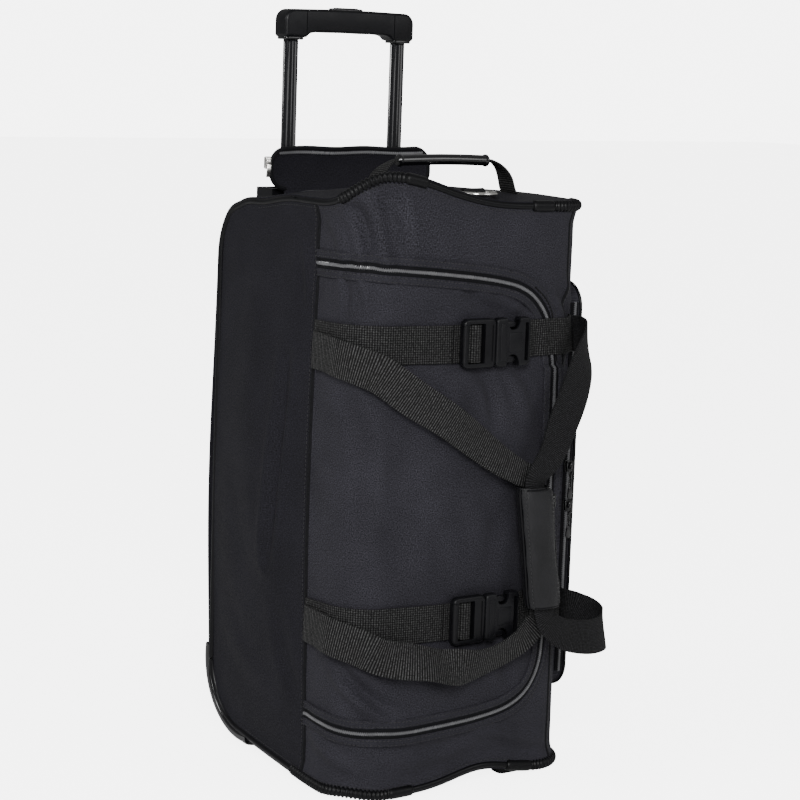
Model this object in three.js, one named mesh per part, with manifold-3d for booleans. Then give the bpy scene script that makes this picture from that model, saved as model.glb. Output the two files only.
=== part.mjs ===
// A wheeled duffel bag that stands on its end, as an assembly of separate solids.
// Millimetres, +Z up. The front, with the big U-shaped lid, faces -Y and the trolley side faces +Y.
// The lid turns on the near (-X) side seam; the outer pocket is on the far (+X) side.
import * as THREE from "three";
import { mergeVertices } from "three/addons/utils/BufferGeometryUtils.js";
import Module from "manifold-3d";

const wasm = await Module();
wasm.setup();

// ---- Driving dimensions ----
const GAP = 0.3; // clearance between pieces that touch
const BODY_HALF_WIDTH = 145;
const FRONT_Y = -133;
const BACK_Y = 140;
const TOP_Z = 606;
const FRONT_BOTTOM_Z = 6; // underside of the front part of the bag
const FRONT_RADIUS = 45; // front vertical corners, in plan
const BACK_TOP_RADIUS = 70; // back corners, in side view
const BACK_BOTTOM_RADIUS = 70;
const BACK_BOTTOM_LIFT = 19; // how much higher the bag's bottom is at the wheels
const PANEL = 3; // padded fabric panel thickness
const PIPING_RADIUS = 3;
const GUARD_RADIUS = 4.6; // ribbed corner guard around the piping
const GUARD_LEAD = 26; // how far a guard runs along the front past its corner
const NEAR_SEAM_Y = -50; // seam of the near side, where the lid turns
const FAR_SEAM_X = 112; // seam of the front near the far corner

const LID_FAR_X = 97;
const LID_BOTTOM_Z = 73;
const LID_TOP_Z = 539;
const LID_RADIUS = 52;
const ZIP_TAPE_WIDTH = 6;
const ZIP_TAPE = [0.3, 1.5]; // the tape's height above the panel, low and high

const WEB_WIDTH = 40;
const WEB = [2, 3.8]; // the strap's height above the panel, low and high
const UPPER_STRAP_Z = 470;
const LOWER_STRAP_Z = 184;
const BUCKLE_LEFT_X = -28;
const BUCKLE_SPLIT_X = 12;
const BUCKLE_RIGHT_X = 55;
const BUCKLE_HEIGHT = 50;
const BUCKLE_BACK_Y = FRONT_Y - 4.2;
const BUCKLE_FRONT_Y = FRONT_Y - 14.4;

const POST_SPACING = 138;
const POST_Y = 130;
const INNER_TUBE = { x: 15, y: 9, wall: 1.3, low: 285, high: 771 };
const OUTER_TUBE = { x: 18.4, y: 12.4, wall: 1.4, low: 95, high: 562 };
const GRIP_HALF_WIDTH = 83;
const GRIP_TOP_Z = 798;

const WHEEL_RADIUS = 32;
const WHEEL_Y = 98;
const WHEEL_X = 116; // middle of each wheel
const WHEEL_WIDTH = 22;
const HOUSING_OUTER_X = 146;
const HOUSING_INNER_X = 96;
const HOUSING_RIM = [72.4, 77]; // shell radii about the corner's centre

const POCKET_OUTER_X = 172;
const POCKET_Y = [-88, 96];
const POCKET_Z = [74, 519];
const POCKET_RADIUS = 26;

// Values that follow from the dimensions above
const RABBET = 2 * PIPING_RADIUS + GAP; // step along the edges, in which the piping lies
const SURFACE = { bottomBackZ: FRONT_BOTTOM_Z + BACK_BOTTOM_LIFT };
SURFACE.bottomArc = new THREE.Vector2(
  BACK_Y - BACK_BOTTOM_RADIUS,
  SURFACE.bottomBackZ + BACK_BOTTOM_RADIUS,
);
SURFACE.topArc = new THREE.Vector2(BACK_Y - BACK_TOP_RADIUS, TOP_Z - BACK_TOP_RADIUS);
const CORNER_X = BODY_HALF_WIDTH - FRONT_RADIUS;
const CORNER_Y = FRONT_Y + FRONT_RADIUS;
const FAR = 400; // beyond the bag in any direction
const TALL = [-50, TOP_Z + 94]; // from below the bag to above it
const BEYOND = 20; // how far a cutting outline runs past the bag

// ---- Solids ----
const V = (x, y, z) => new THREE.Vector3(x, y, z);

// A closed geometry as a manifold-3d solid.
function solid(geometry) {
  const plain = geometry.index ? geometry.toNonIndexed() : geometry.clone();
  plain.deleteAttribute("normal");
  plain.deleteAttribute("uv");
  const merged = mergeVertices(plain, 1e-4);
  return new wasm.Manifold(
    new wasm.Mesh({
      numProp: 3,
      vertProperties: merged.attributes.position.array,
      triVerts: new Uint32Array(merged.index.array),
    }),
  );
}

// A manifold-3d solid as a geometry with flat shading.
function geometryOf(manifold) {
  const mesh = manifold.getMesh();
  const indexed = new THREE.BufferGeometry();
  const positions = new Float32Array(mesh.numVert * 3);
  for (let i = 0; i < mesh.numVert; i++) {
    positions.set(mesh.vertProperties.subarray(i * mesh.numProp, i * mesh.numProp + 3), i * 3);
  }
  indexed.setAttribute("position", new THREE.BufferAttribute(positions, 3));
  indexed.setIndex(new THREE.BufferAttribute(mesh.triVerts, 1));
  const geometry = indexed.toNonIndexed();
  geometry.computeVertexNormals();
  return geometry;
}

const join = (first, ...others) => others.reduce((sum, other) => sum.add(other), first);
const cut = (first, ...others) => others.reduce((rest, other) => rest.subtract(other), first);
const common = (first, ...others) => others.reduce((rest, other) => rest.intersect(other), first);

function box([x0, x1], [y0, y1], [z0, z1]) {
  const geometry = new THREE.BoxGeometry(x1 - x0, y1 - y0, z1 - z0);
  return solid(geometry.translate((x0 + x1) / 2, (y0 + y1) / 2, (z0 + z1) / 2));
}

const extrusion = (points, depth) =>
  new THREE.ExtrudeGeometry(new THREE.Shape(points), { depth, bevelEnabled: false });

// An outline in plan, given height.
function prismZ(points, z0, z1) {
  return solid(extrusion(points, z1 - z0).translate(0, 0, z0));
}

// An outline seen from the front (x, z), carried through from y0 to y1.
function prismY(points, y0, y1) {
  return solid(extrusion(points, y1 - y0).rotateX(Math.PI / 2).translate(0, y1, 0));
}

// An outline seen from the side (y, z), carried through from x0 to x1.
function prismX(points, x0, x1) {
  const turn = new THREE.Matrix4().makeBasis(V(0, 1, 0), V(0, 0, 1), V(1, 0, 0));
  return solid(extrusion(points, x1 - x0).applyMatrix4(turn).translate(x0, 0, 0));
}

// Points of a circle's arc, angles in degrees.
function arc(cx, cy, radius, from, to, steps) {
  return Array.from({ length: steps + 1 }, (_, i) => {
    const angle = THREE.MathUtils.degToRad(from + ((to - from) * i) / steps);
    return new THREE.Vector2(cx + radius * Math.cos(angle), cy + radius * Math.sin(angle));
  });
}

const circle = (cx, cy, radius, steps) => arc(cx, cy, radius, 0, 360, steps).slice(0, -1);

// A rectangle with the same radius at all corners.
function roundedRect(x0, x1, y0, y1, radius, steps = 5) {
  return [
    ...arc(x1 - radius, y0 + radius, radius, 270, 360, steps),
    ...arc(x1 - radius, y1 - radius, radius, 0, 90, steps),
    ...arc(x0 + radius, y1 - radius, radius, 90, 180, steps),
    ...arc(x0 + radius, y0 + radius, radius, 180, 270, steps),
  ];
}

// A solid swept through stations. Each station has a place and two directions that span its section.
function sweep(stations, section, closed = false) {
  const positions = [];
  const sides = section(0).length;
  stations.forEach(({ place, across, out }, i) => {
    section(i).forEach(([a, b]) => {
      positions.push(...place.clone().addScaledVector(across, a).addScaledVector(out, b).toArray());
    });
  });
  const index = [];
  const rings = closed ? stations.length : stations.length - 1;
  for (let i = 0; i < rings; i++) {
    const next = ((i + 1) % stations.length) * sides;
    for (let k = 0; k < sides; k++) {
      const a = i * sides + k;
      const b = i * sides + ((k + 1) % sides);
      const c = next + k;
      const d = next + ((k + 1) % sides);
      index.push(a, b, d, a, d, c);
    }
  }
  if (!closed) {
    const last = (stations.length - 1) * sides;
    for (let k = 1; k < sides - 1; k++) {
      index.push(0, k + 1, k);
      index.push(last, last + k, last + k + 1);
    }
  }
  const geometry = new THREE.BufferGeometry();
  geometry.setAttribute("position", new THREE.BufferAttribute(new Float32Array(positions), 3));
  geometry.setIndex(index);
  const made = solid(geometry);
  if (made.volume() > 0) return made;
  geometry.setIndex(index.map((_, i) => index[i - (i % 3) + [0, 2, 1][i % 3]]));
  return solid(geometry);
}

const roundSection = (radius, sides) => () =>
  circle(0, 0, radius, sides).map((point) => point.toArray());

// A flat strap through hand-set knots: place, the direction of its width, its width.
function strap(knots, thickness, perSpan = 2) {
  const path = new THREE.CatmullRomCurve3(knots.map((knot) => knot.place), false, "centripetal");
  const count = (knots.length - 1) * perSpan;
  const stations = [];
  const widths = [];
  for (let i = 0; i <= count; i++) {
    const t = i / count;
    const k = Math.min(Math.floor(i / perSpan), knots.length - 2);
    const blend = i / perSpan - k;
    const across = knots[k].across.clone().lerp(knots[k + 1].across, blend);
    const tangent = path.getTangent(t);
    across.addScaledVector(tangent, -across.dot(tangent)).normalize();
    stations.push({ place: path.getPoint(t), across, out: V(0, 0, 0).crossVectors(tangent, across) });
    widths.push(THREE.MathUtils.lerp(knots[k].width, knots[k + 1].width, blend));
  }
  const h = thickness / 2;
  return sweep(stations, (i) => [
    [-widths[i] / 2, -h],
    [widths[i] / 2, -h],
    [widths[i] / 2, h],
    [-widths[i] / 2, h],
  ]);
}

// ---- The bag's surface ----
// Side view of the top, back and bottom, from the bottom front edge to the top front edge.
function sideStations() {
  const { bottomArc, topArc, bottomBackZ } = SURFACE;
  const slope = new THREE.Vector2(bottomArc.x - CORNER_Y, bottomBackZ - FRONT_BOTTOM_Z).normalize();
  const sloped = new THREE.Vector2(slope.y, -slope.x);
  const arcStations = (centre, radius, from, to) =>
    arc(0, 0, 1, from, to, 6).map((normal) => ({
      place: centre.clone().addScaledVector(normal, radius),
      normal,
    }));
  return [
    { place: new THREE.Vector2(FRONT_Y, FRONT_BOTTOM_Z), normal: new THREE.Vector2(0, -1) },
    { place: new THREE.Vector2(CORNER_Y, FRONT_BOTTOM_Z), normal: new THREE.Vector2(0, -1) },
    { place: new THREE.Vector2(bottomArc.x - 8, bottomBackZ - 1), normal: sloped },
    ...arcStations(bottomArc, BACK_BOTTOM_RADIUS, -85, 0),
    ...arcStations(topArc, BACK_TOP_RADIUS, 0, 90),
    { place: new THREE.Vector2(FRONT_Y, TOP_Z), normal: new THREE.Vector2(0, 1) },
  ];
}

// The same outline, drawn in by some millimetres and closed in front of the bag.
function sideOutline(inset) {
  const points = sideStations().map(({ place, normal }) => place.clone().addScaledVector(normal, -inset));
  const front = FRONT_Y - 3 * BEYOND;
  points[0].x = front;
  points[points.length - 1].x = front;
  return points;
}

// Plan view: square at the back, round at the front corners, with everything moved out by some millimetres.
function planOutline(out) {
  const radius = FRONT_RADIUS + out;
  const back = BACK_Y + BEYOND;
  return [
    new THREE.Vector2(BODY_HALF_WIDTH + out, back),
    new THREE.Vector2(-BODY_HALF_WIDTH - out, back),
    ...arc(-CORNER_X, CORNER_Y, radius, 180, 270, 7),
    ...arc(CORNER_X, CORNER_Y, radius, 270, 360, 7),
  ];
}

// The wrap of the near side, the front and the far side, between two heights above its surface.
function wrapBand(low, high) {
  const [bottom, top] = TALL;
  return cut(prismZ(planOutline(high), bottom, top), prismZ(planOutline(low), bottom - 1, top + 1));
}

// The lid's outline from the front, grown or shrunk by some millimetres.
function lidOutline(out) {
  const radius = LID_RADIUS + out;
  const right = LID_FAR_X + out;
  return [
    new THREE.Vector2(-FAR, LID_BOTTOM_Z - out),
    ...arc(right - radius, LID_BOTTOM_Z - out + radius, radius, 270, 360, 7),
    ...arc(right - radius, LID_TOP_Z + out - radius, radius, 0, 90, 7),
    new THREE.Vector2(-FAR, LID_TOP_Z + out),
  ];
}

const lidPrism = (out) => prismY(lidOutline(out), -FAR, BACK_Y / 2);
const aheadOfNearSeam = box([-FAR, FAR], [-FAR, NEAR_SEAM_Y - GAP / 2], TALL);
const nearOfFarSeam = box([-FAR, FAR_SEAM_X - GAP / 2], [-FAR, CORNER_Y + 2 * BEYOND], TALL);

// Stations of the piping along the edge between the wrap and the end-and-back strip.
function pipingStations() {
  const stations = [];
  const add = (x, y, z, out, up) => {
    const place = V(x, y, z).addScaledVector(out, -PIPING_RADIUS).addScaledVector(up, -PIPING_RADIUS);
    stations.push({ place, across: out, out: up });
  };
  const side = sideStations().slice(1, -1);
  const frontArc = (z, up, from, to, centreX) => {
    arc(0, 0, 1, from, to, 5).forEach((normal) => {
      const out = V(normal.x, normal.y, 0);
      add(centreX + normal.x * FRONT_RADIUS, CORNER_Y + normal.y * FRONT_RADIUS, z, out, up);
    });
  };
  const up = V(0, 0, 1);
  const down = V(0, 0, -1);
  frontArc(FRONT_BOTTOM_Z, down, 180, 270, -CORNER_X);
  frontArc(FRONT_BOTTOM_Z, down, 270, 360, CORNER_X);
  side.slice(1).forEach(({ place, normal }) => {
    add(BODY_HALF_WIDTH, place.x, place.y, V(1, 0, 0), V(0, normal.x, normal.y));
  });
  frontArc(TOP_Z, up, 360, 270, CORNER_X);
  frontArc(TOP_Z, up, 270, 180, -CORNER_X);
  side.slice(1).reverse().forEach(({ place, normal }) => {
    add(-BODY_HALF_WIDTH, place.x, place.y, V(-1, 0, 0), V(0, normal.x, normal.y));
  });
  return stations;
}

// Stations of one corner guard: the corner's arc and a short straight along the front.
function guardStations(sideSign, top) {
  const z = top ? TOP_Z : FRONT_BOTTOM_Z;
  const up = V(0, 0, top ? 1 : -1);
  const at = (x, y, out) => ({
    place: V(x, y, z).addScaledVector(out, -PIPING_RADIUS).addScaledVector(up, -PIPING_RADIUS),
    across: out,
    out: up,
  });
  const stations = [];
  arc(0, 0, 1, 0, -90, 5).forEach((normal) => {
    const out = V(sideSign * normal.x, normal.y, 0);
    stations.push(at(sideSign * CORNER_X + out.x * FRONT_RADIUS, CORNER_Y + out.y * FRONT_RADIUS, out));
  });
  stations.push(at(sideSign * (CORNER_X - GUARD_LEAD), FRONT_Y, V(0, -1, 0)));
  return stations;
}

const CORNERS = [
  ["near", -1, "top", true],
  ["far", 1, "top", true],
  ["near", -1, "bottom", false],
  ["far", 1, "bottom", false],
];

// ---- Materials ----
const finish = (color, roughness, metalness = 0) => ({ color, roughness, metalness });
const FINISHES = {
  canvas: finish(0x17181b, 0.9),
  webbing: finish(0x1c1c1b, 0.85),
  leather: finish(0x121213, 0.5),
  coil: finish(0x232427, 0.45),
  plastic: finish(0x121214, 0.45),
  gloss: finish(0x0b0b0c, 0.2),
  tube: finish(0x101012, 0.25, 0.6),
  board: finish(0x2b2b2d, 0.7),
  rubber: finish(0x151515, 0.8),
  silver: finish(0xc4c4c2, 0.25, 1),
  steel: finish(0x8d8e90, 0.35, 1),
};

const bag = new THREE.Group();

// Puts a solid into the bag as a named mesh with its own material.
function place(name, finishName, manifold) {
  const mesh = new THREE.Mesh(geometryOf(manifold), new THREE.MeshStandardMaterial(FINISHES[finishName]));
  mesh.name = name;
  bag.add(mesh);
}

// ---- Guards and piping ----
function buildPiping() {
  place("piping_loop", "plastic", sweep(pipingStations(), roundSection(PIPING_RADIUS, 6), true));
  for (const [sideName, sign, endName, top] of CORNERS) {
    const stations = guardStations(sign, top);
    const bore = sweep(stations, roundSection(PIPING_RADIUS + GAP, 8));
    const skin = sweep(stations, roundSection(GUARD_RADIUS, 8));
    place(`guard_${sideName}_${endName}`, "plastic", cut(skin, bore));
  }
}

const guardRoom = CORNERS.map(([, sign, , top]) =>
  sweep(guardStations(sign, top), roundSection(GUARD_RADIUS + GAP, 8)),
);

// ---- Fabric panels ----
const HANDLE_HOUSING = { x: 98, y: [113, 145], z: [540, 608] };
const WHEEL_ROOM_FRONT_Y = WHEEL_Y - WHEEL_RADIUS - 6.8;
const WHEEL_ROOM_TOP_Z = SURFACE.bottomArc.y + 10;
const BOTTOM_SEAM_Y = SURFACE.bottomArc.x - 20; // where the bottom strip meets the back strip

function buildPanels() {
  const stripX = BODY_HALF_WIDTH - RABBET;
  const strip = common(
    cut(prismX(sideOutline(0), -stripX, stripX), prismX(sideOutline(PANEL), -stripX - 1, stripX + 1)),
    prismZ(planOutline(-RABBET), ...TALL),
  );
  const housing = HANDLE_HOUSING;
  const housingRoom = box(
    [-housing.x - GAP, housing.x + GAP],
    [housing.y[0] - GAP, FAR],
    [housing.z[0] - GAP, FAR + TOP_Z],
  );
  const wheelRoom = [-1, 1].map((sign) => {
    const reach = [sign * (HOUSING_INNER_X - GAP), sign * FAR].sort((a, b) => a - b);
    return box(reach, [WHEEL_ROOM_FRONT_Y, FAR], [-FAR, WHEEL_ROOM_TOP_Z]);
  });
  const topBack = SURFACE.topArc.x;
  const whole = cut(strip, housingRoom, ...wheelRoom, ...guardRoom);
  const halves = { low: [-FAR, TOP_Z / 2], high: [TOP_Z / 2, TOP_Z + FAR] };
  place("top_panel", "canvas", common(whole, box([-FAR, FAR], [-FAR, topBack], halves.high)));
  const behindTop = box([-FAR, FAR], [topBack + GAP, FAR], [0, TOP_Z + FAR]);
  const behindBottom = box([-FAR, FAR], [BOTTOM_SEAM_Y + GAP, FAR], halves.low);
  place("back_panel", "canvas", common(whole, join(behindTop, behindBottom)));
  place("bottom_panel", "canvas", common(whole, box([-FAR, FAR], [-FAR, BOTTOM_SEAM_Y], halves.low)));

  const inside = prismX(sideOutline(RABBET), -FAR, FAR);
  const wrap = cut(common(wrapBand(-PANEL, 0), inside), ...guardRoom);
  const behindNear = box([-FAR, 0], [NEAR_SEAM_Y + GAP / 2, FAR], TALL);
  place("near_side_panel", "canvas", common(wrap, behindNear));
  const front = common(wrap, aheadOfNearSeam, nearOfFarSeam);
  place("front_frame", "canvas", cut(front, lidPrism(GAP)));
  place("front_lid", "canvas", common(front, lidPrism(-GAP)));
  const farCorner = join(
    box([FAR_SEAM_X + GAP / 2, FAR], [-FAR, FAR], TALL),
    box([0, FAR], [0, FAR], TALL),
  );
  place("far_side_panel", "canvas", common(wrap, farCorner));
}

// ---- Main zip ----
const SLIDER = { x: 10, y: 5, z: 13 };
const EYE = { from: 1.6, to: 3.6, half: 2 }; // the hole through a slider for its pull's pin
const PIN = { from: 2, to: 3.2, half: 0.6 };
const PULL_ARM = { x: 6.5, half: 1.2, top: 1, drop: 8 };
const PULL_TAG = { half: 7.7, thick: 2.1, lap: 0.6 };
const MAIN_SLIDERS = { upper: 300, lower: 262 };
const MAIN_PULL_LENGTH = 24;

function buildMainZip() {
  const tape = common(wrapBand(...ZIP_TAPE), aheadOfNearSeam);
  const frameHalf = cut(lidPrism(ZIP_TAPE_WIDTH), lidPrism(GAP));
  const lidHalf = cut(lidPrism(-GAP), lidPrism(-ZIP_TAPE_WIDTH));
  place("zip_frame_half", "coil", common(tape, frameHalf));
  place("zip_lid_half", "coil", common(tape, lidHalf));
  for (const [name, z] of Object.entries(MAIN_SLIDERS)) {
    const y = FRONT_Y - ZIP_TAPE[1] - GAP;
    buildSlider(`zip_slider_${name}`, `zip_pull_${name}`, LID_FAR_X, y, z, MAIN_PULL_LENGTH);
  }
}

// A zip slider with its back face at y, and the pull that hangs from the pin through its eye.
function buildSlider(sliderName, pullName, x, y, z, pullLength) {
  const front = y - SLIDER.y;
  const body = box([x - SLIDER.x / 2, x + SLIDER.x / 2], [front, y], [z - SLIDER.z / 2, z + SLIDER.z / 2]);
  const eye = box([x - SLIDER.x, x + SLIDER.x], [y - EYE.to, y - EYE.from], [z - EYE.half, z + EYE.half]);
  place(sliderName, "silver", cut(body, eye));
  const reach = PULL_ARM.x + PULL_ARM.half;
  const pin = box([x - reach, x + reach], [y - PIN.to, y - PIN.from], [z - PIN.half, z + PIN.half]);
  const arms = [-PULL_ARM.x, PULL_ARM.x].map((offset) =>
    box(
      [x + offset - PULL_ARM.half, x + offset + PULL_ARM.half],
      [front - PULL_TAG.thick, y - PIN.from],
      [z - PULL_ARM.drop, z + PULL_ARM.top],
    ),
  );
  const tagTop = z - PULL_ARM.drop + PULL_TAG.lap;
  const tag = box(
    [x - PULL_TAG.half, x + PULL_TAG.half],
    [front - GAP - PULL_TAG.thick, front - GAP],
    [z - PULL_ARM.drop - pullLength, tagTop],
  );
  place(pullName, "silver", join(pin, ...arms, tag));
}

// ---- Compression straps and their side-release buckles ----
const STRAP_OVERLAP_X = 8; // where the near strap ends behind its buckle half
const BUCKLE_SLOTS_X = [-22, -9]; // left edges of the two webbing slots
const BUCKLE_SLOT_WIDTH = 7;
const PRONG = { offsets: [-16, 0, 16], half: 3, back: 6, ahead: 26, y: [-143, -139] };
const CAVITY = { y: [-144.6, -138.2], half: 22, wall: 12 };
const WINDOW_X = [BUCKLE_SPLIT_X + 14, BUCKLE_SPLIT_X + 27]; // the openings where the prongs are pressed
const WEB_SLOT = { x: [BUCKLE_RIGHT_X - 7, BUCKLE_RIGHT_X - 2.5], half: 20.5 };

function buildCompressionStrap(name, z) {
  const heights = [z - WEB_WIDTH / 2, z + WEB_WIDTH / 2];
  const layer = wrapBand(...WEB);
  const nearReach = box([-FAR, STRAP_OVERLAP_X], [-FAR, NEAR_SEAM_Y - GAP], heights);
  place(`${name}_strap_near`, "webbing", common(layer, nearReach));
  const farReach = box([BUCKLE_RIGHT_X + GAP, FAR_SEAM_X - 1], [-FAR, 0], heights);
  place(`${name}_strap_far`, "webbing", common(layer, farReach));

  const around = (half) => [z - half, z + half];
  const height = around(BUCKLE_HEIGHT / 2);
  const depth = [BUCKLE_FRONT_Y, BUCKLE_BACK_Y];
  const frame = box([BUCKLE_LEFT_X, BUCKLE_SPLIT_X - GAP], depth, height);
  const slots = BUCKLE_SLOTS_X.map((x) =>
    box([x, x + BUCKLE_SLOT_WIDTH], [-FAR, 0], around(WEB_SLOT.half)),
  );
  const prongs = PRONG.offsets.map((offset) =>
    box(
      [BUCKLE_SPLIT_X - PRONG.back, BUCKLE_SPLIT_X + PRONG.ahead],
      PRONG.y,
      [z + offset - PRONG.half, z + offset + PRONG.half],
    ),
  );
  place(`${name}_buckle_male`, "plastic", join(cut(frame, ...slots), ...prongs));

  const shell = box([BUCKLE_SPLIT_X, BUCKLE_RIGHT_X], depth, height);
  const cavity = box([BUCKLE_SPLIT_X - 1, BUCKLE_RIGHT_X - CAVITY.wall], CAVITY.y, around(CAVITY.half));
  const windows = box(WINDOW_X, CAVITY.y, around(FAR));
  const webSlot = box(WEB_SLOT.x, [-FAR, 0], around(WEB_SLOT.half));
  place(`${name}_buckle_female`, "plastic", cut(shell, cavity, windows, webSlot));
}

// ---- Carry handles and the wrap that holds them together ----
const WRAP_TOP = V(57, -160, 321);
const WRAP_BOTTOM = V(75, -160, 192);
const WRAP_OUTER = [19, 13.5]; // half widths of the wrap's outer ellipse
const WRAP_WALL = 2.2;
const GRIP_WIDTH = 24; // width of a handle's web, folded inside the wrap
const GRIP_PAST_WRAP = 8;
const GRIP_SHARES = [0, 0.12, 0.5, 0.88, 1];
const HANDLE_THICKNESS = 2.2;
const NEAR_GRIP_Y = -155.5;
const FAR_GRIP_Y = -164.5;
const UP = V(0, 0, 1);
const knot = (x, y, z, width = WEB_WIDTH, across = UP) => ({ place: V(x, y, z), across, width });

const WRAP_AXIS = WRAP_TOP.clone().sub(WRAP_BOTTOM).normalize();

// The grip stretch of a handle, straight through the wrap. Its width lies along X there.
function gripKnots(y) {
  const side = V(1, 0, 0);
  const top = WRAP_TOP.clone().addScaledVector(WRAP_AXIS, GRIP_PAST_WRAP);
  const low = WRAP_BOTTOM.clone().addScaledVector(WRAP_AXIS, -GRIP_PAST_WRAP);
  return GRIP_SHARES.map((share) => {
    const point = top.clone().lerp(low, share);
    return knot(point.x, y, point.z, GRIP_WIDTH, side);
  });
}

// Knots of the near handle where it goes round the front near corner.
function nearCornerKnots(from, to) {
  const radius = FRONT_RADIUS + 9;
  const [zFrom, zTo] = [from.z, to.z];
  return arc(-CORNER_X, CORNER_Y, radius, from.angle, to.angle, 2).map((point, i) =>
    knot(point.x, point.y, zFrom + ((zTo - zFrom) * i) / 2),
  );
}

function buildCarryHandles() {
  const lean = V(0.75, 0, 0.65);
  const dive = V(-0.75, 0, 0.65);
  const rootX = -BODY_HALF_WIDTH - 6.2;
  place("near_handle", "webbing", strap([
    knot(rootX, NEAR_SEAM_Y - 4, 459),
    knot(rootX - 2, -86, 457),
    ...nearCornerKnots({ angle: 202, z: 453 }, { angle: 248, z: 438 }),
    knot(-80, -147, 418, WEB_WIDTH, V(0.35, 0, 1)),
    knot(-30, -150, 382, WEB_WIDTH, V(0.45, 0, 1)),
    knot(16, -153, 354, WEB_WIDTH - 4, V(0.6, 0, 1)),
    knot(42, -155, 341, 30, lean),
    ...gripKnots(NEAR_GRIP_Y),
    knot(62, -155, 170, 28, dive),
    knot(34, -154, 147, 34, V(-0.2, 0, 1)),
    knot(-10, -153, 138),
    knot(-60, -151, 149),
    ...nearCornerKnots({ angle: 248, z: 164 }, { angle: 202, z: 174 }),
    knot(rootX - 2, -86, 176),
    knot(rootX, NEAR_SEAM_Y - 4, 177),
  ], HANDLE_THICKNESS));

  place("far_handle", "webbing", strap([
    knot(148.6, -101, 468),
    knot(150.2, -108, 468),
    knot(153.5, -119, 460),
    knot(161, -134, 436, WEB_WIDTH, V(-0.3, 0, 1)),
    knot(150, -153, 396, WEB_WIDTH, V(-0.6, 0, 1)),
    knot(112, -165, 360, 34, V(-0.7, 0, 0.7)),
    knot(74, -165, 344, 28, V(-0.8, 0, 0.5)),
    ...gripKnots(FAR_GRIP_Y),
    knot(93, -166, 168, 28, lean),
    knot(130, -168, 158, 36, V(0.2, 0, 1)),
    knot(166, -152, 158),
    knot(172, -132, 163),
    knot(158, -119, 168),
    knot(150.2, -108, 171),
    knot(148.6, -101, 171),
  ], HANDLE_THICKNESS));

  const [rx, ry] = WRAP_OUTER;
  const ellipse = (inset) => () => circle(0, 0, 1, 20).map((p) => [p.x * (rx - inset), p.y * (ry - inset)]);
  const out = V(0, -1, 0);
  const across = V(0, 0, 0).crossVectors(WRAP_AXIS, out).normalize();
  const stations = (extra) => [
    { place: WRAP_BOTTOM.clone().addScaledVector(WRAP_AXIS, -extra), across, out },
    { place: WRAP_TOP.clone().addScaledVector(WRAP_AXIS, extra), across, out },
  ];
  const outer = sweep(stations(0), ellipse(0));
  const inner = sweep(stations(1), ellipse(WRAP_WALL));
  place("handle_wrap", "leather", cut(outer, inner));
}

// ---- Top grab handle and D-ring ----
const GRAB_Y = -60;
const GRAB_BAR_Z = 648;
const SLEEVE = { half: 57, radius: 6, bore: 4.6 };

function buildGrabHandle() {
  const widthwise = V(0, 1, 0);
  const side = (sign) => [
    knot(sign * 98, GRAB_Y, TOP_Z + 2, 26, widthwise),
    knot(sign * 86, GRAB_Y, TOP_Z + 3, 26, widthwise),
    knot(sign * 80, GRAB_Y, TOP_Z + 22, 25, widthwise),
    knot(sign * 70, GRAB_Y, GRAB_BAR_Z - 2, 14, widthwise),
    knot(sign * 58, GRAB_Y, GRAB_BAR_Z, 7, widthwise),
  ];
  place("grab_handle_web", "webbing", strap([...side(-1), ...side(1).reverse()], 2));
  const { half, radius, bore: boreRadius } = SLEEVE;
  const tube = prismX(circle(GRAB_Y, GRAB_BAR_Z, radius, 12), -half, half);
  const bore = prismX(circle(GRAB_Y, GRAB_BAR_Z, boreRadius, 12), -half - 1, half + 1);
  place("grab_handle_sleeve", "gloss", cut(tube, bore));
}

const D_RING = { x: 28, y: -76, z: TOP_Z + 7, half: 20, wire: 2, reach: 6 };
const D_TAB = { half: 13, y: [-5, 22], high: 11.6, low: 4, clearance: 0.5 };

function buildDRing() {
  const { x, y, z, half, wire, reach } = D_RING;
  const bow = arc(0, 0, half, 180, 360, 10).map((p) => ({
    place: V(x + p.x, y - reach + p.y, z),
    across: V(p.x / half, p.y / half, 0),
    out: UP,
  }));
  const ends = [-1, 1].map((sign) => ({ place: V(x + sign * half, y, z), across: V(sign, 0, 0), out: UP }));
  const ring = sweep([ends[0], ...bow, ends[1]], roundSection(wire, 8));
  const bar = prismX(circle(y, z, wire, 8), x - half - wire, x + half + wire);
  place("d_ring", "silver", join(ring, bar));
  const [front, back] = D_TAB.y;
  const tabX = [x - D_TAB.half, x + D_TAB.half];
  const tab = box(tabX, [y + front, y + back], [TOP_Z + GAP, TOP_Z + D_TAB.high]);
  const step = box([x - half, x + half], [y - front, y + half * 2], [TOP_Z + D_TAB.low, TOP_Z + half]);
  const bore = prismX(circle(y, z, wire + D_TAB.clearance, 12), x - half, x + half);
  place("d_ring_tab", "webbing", cut(tab, step, bore));
}

// ---- Trolley ----
const PRESS = 4; // button travel
const YOKE = { z: 783, high: 3.5, half: 3 }; // the bar that joins the button to the push rods
const ROD_RADIUS = 2;
const ROD_LOW_Z = INNER_TUBE.low + 30;
const GRIP = { y: 12, legZ: 768, bellyZ: 773, legWidth: 28, corner: 9, belly: 20 };
const BUTTON = { x: 20.4, y: 6.4, proud: 1.8, room: 0.6 };
const LEG_SOCKET = { x: 7.8, y: 4.8, rod: 3, below: 8 };
const HOUSING_WELL = { side: 6, front: 3, back: 2.2, floor: 18 };
const HOUSING_HOLE = { x: 9.5, y: 6.5 };
const BACK_BOARD = { x: 122, y: [119.6, 122.4], z: [82, 538] };
const BRACKET = { x: 88, y: [123, 135.6], z: [84, OUTER_TUBE.low - GAP] };

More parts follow.
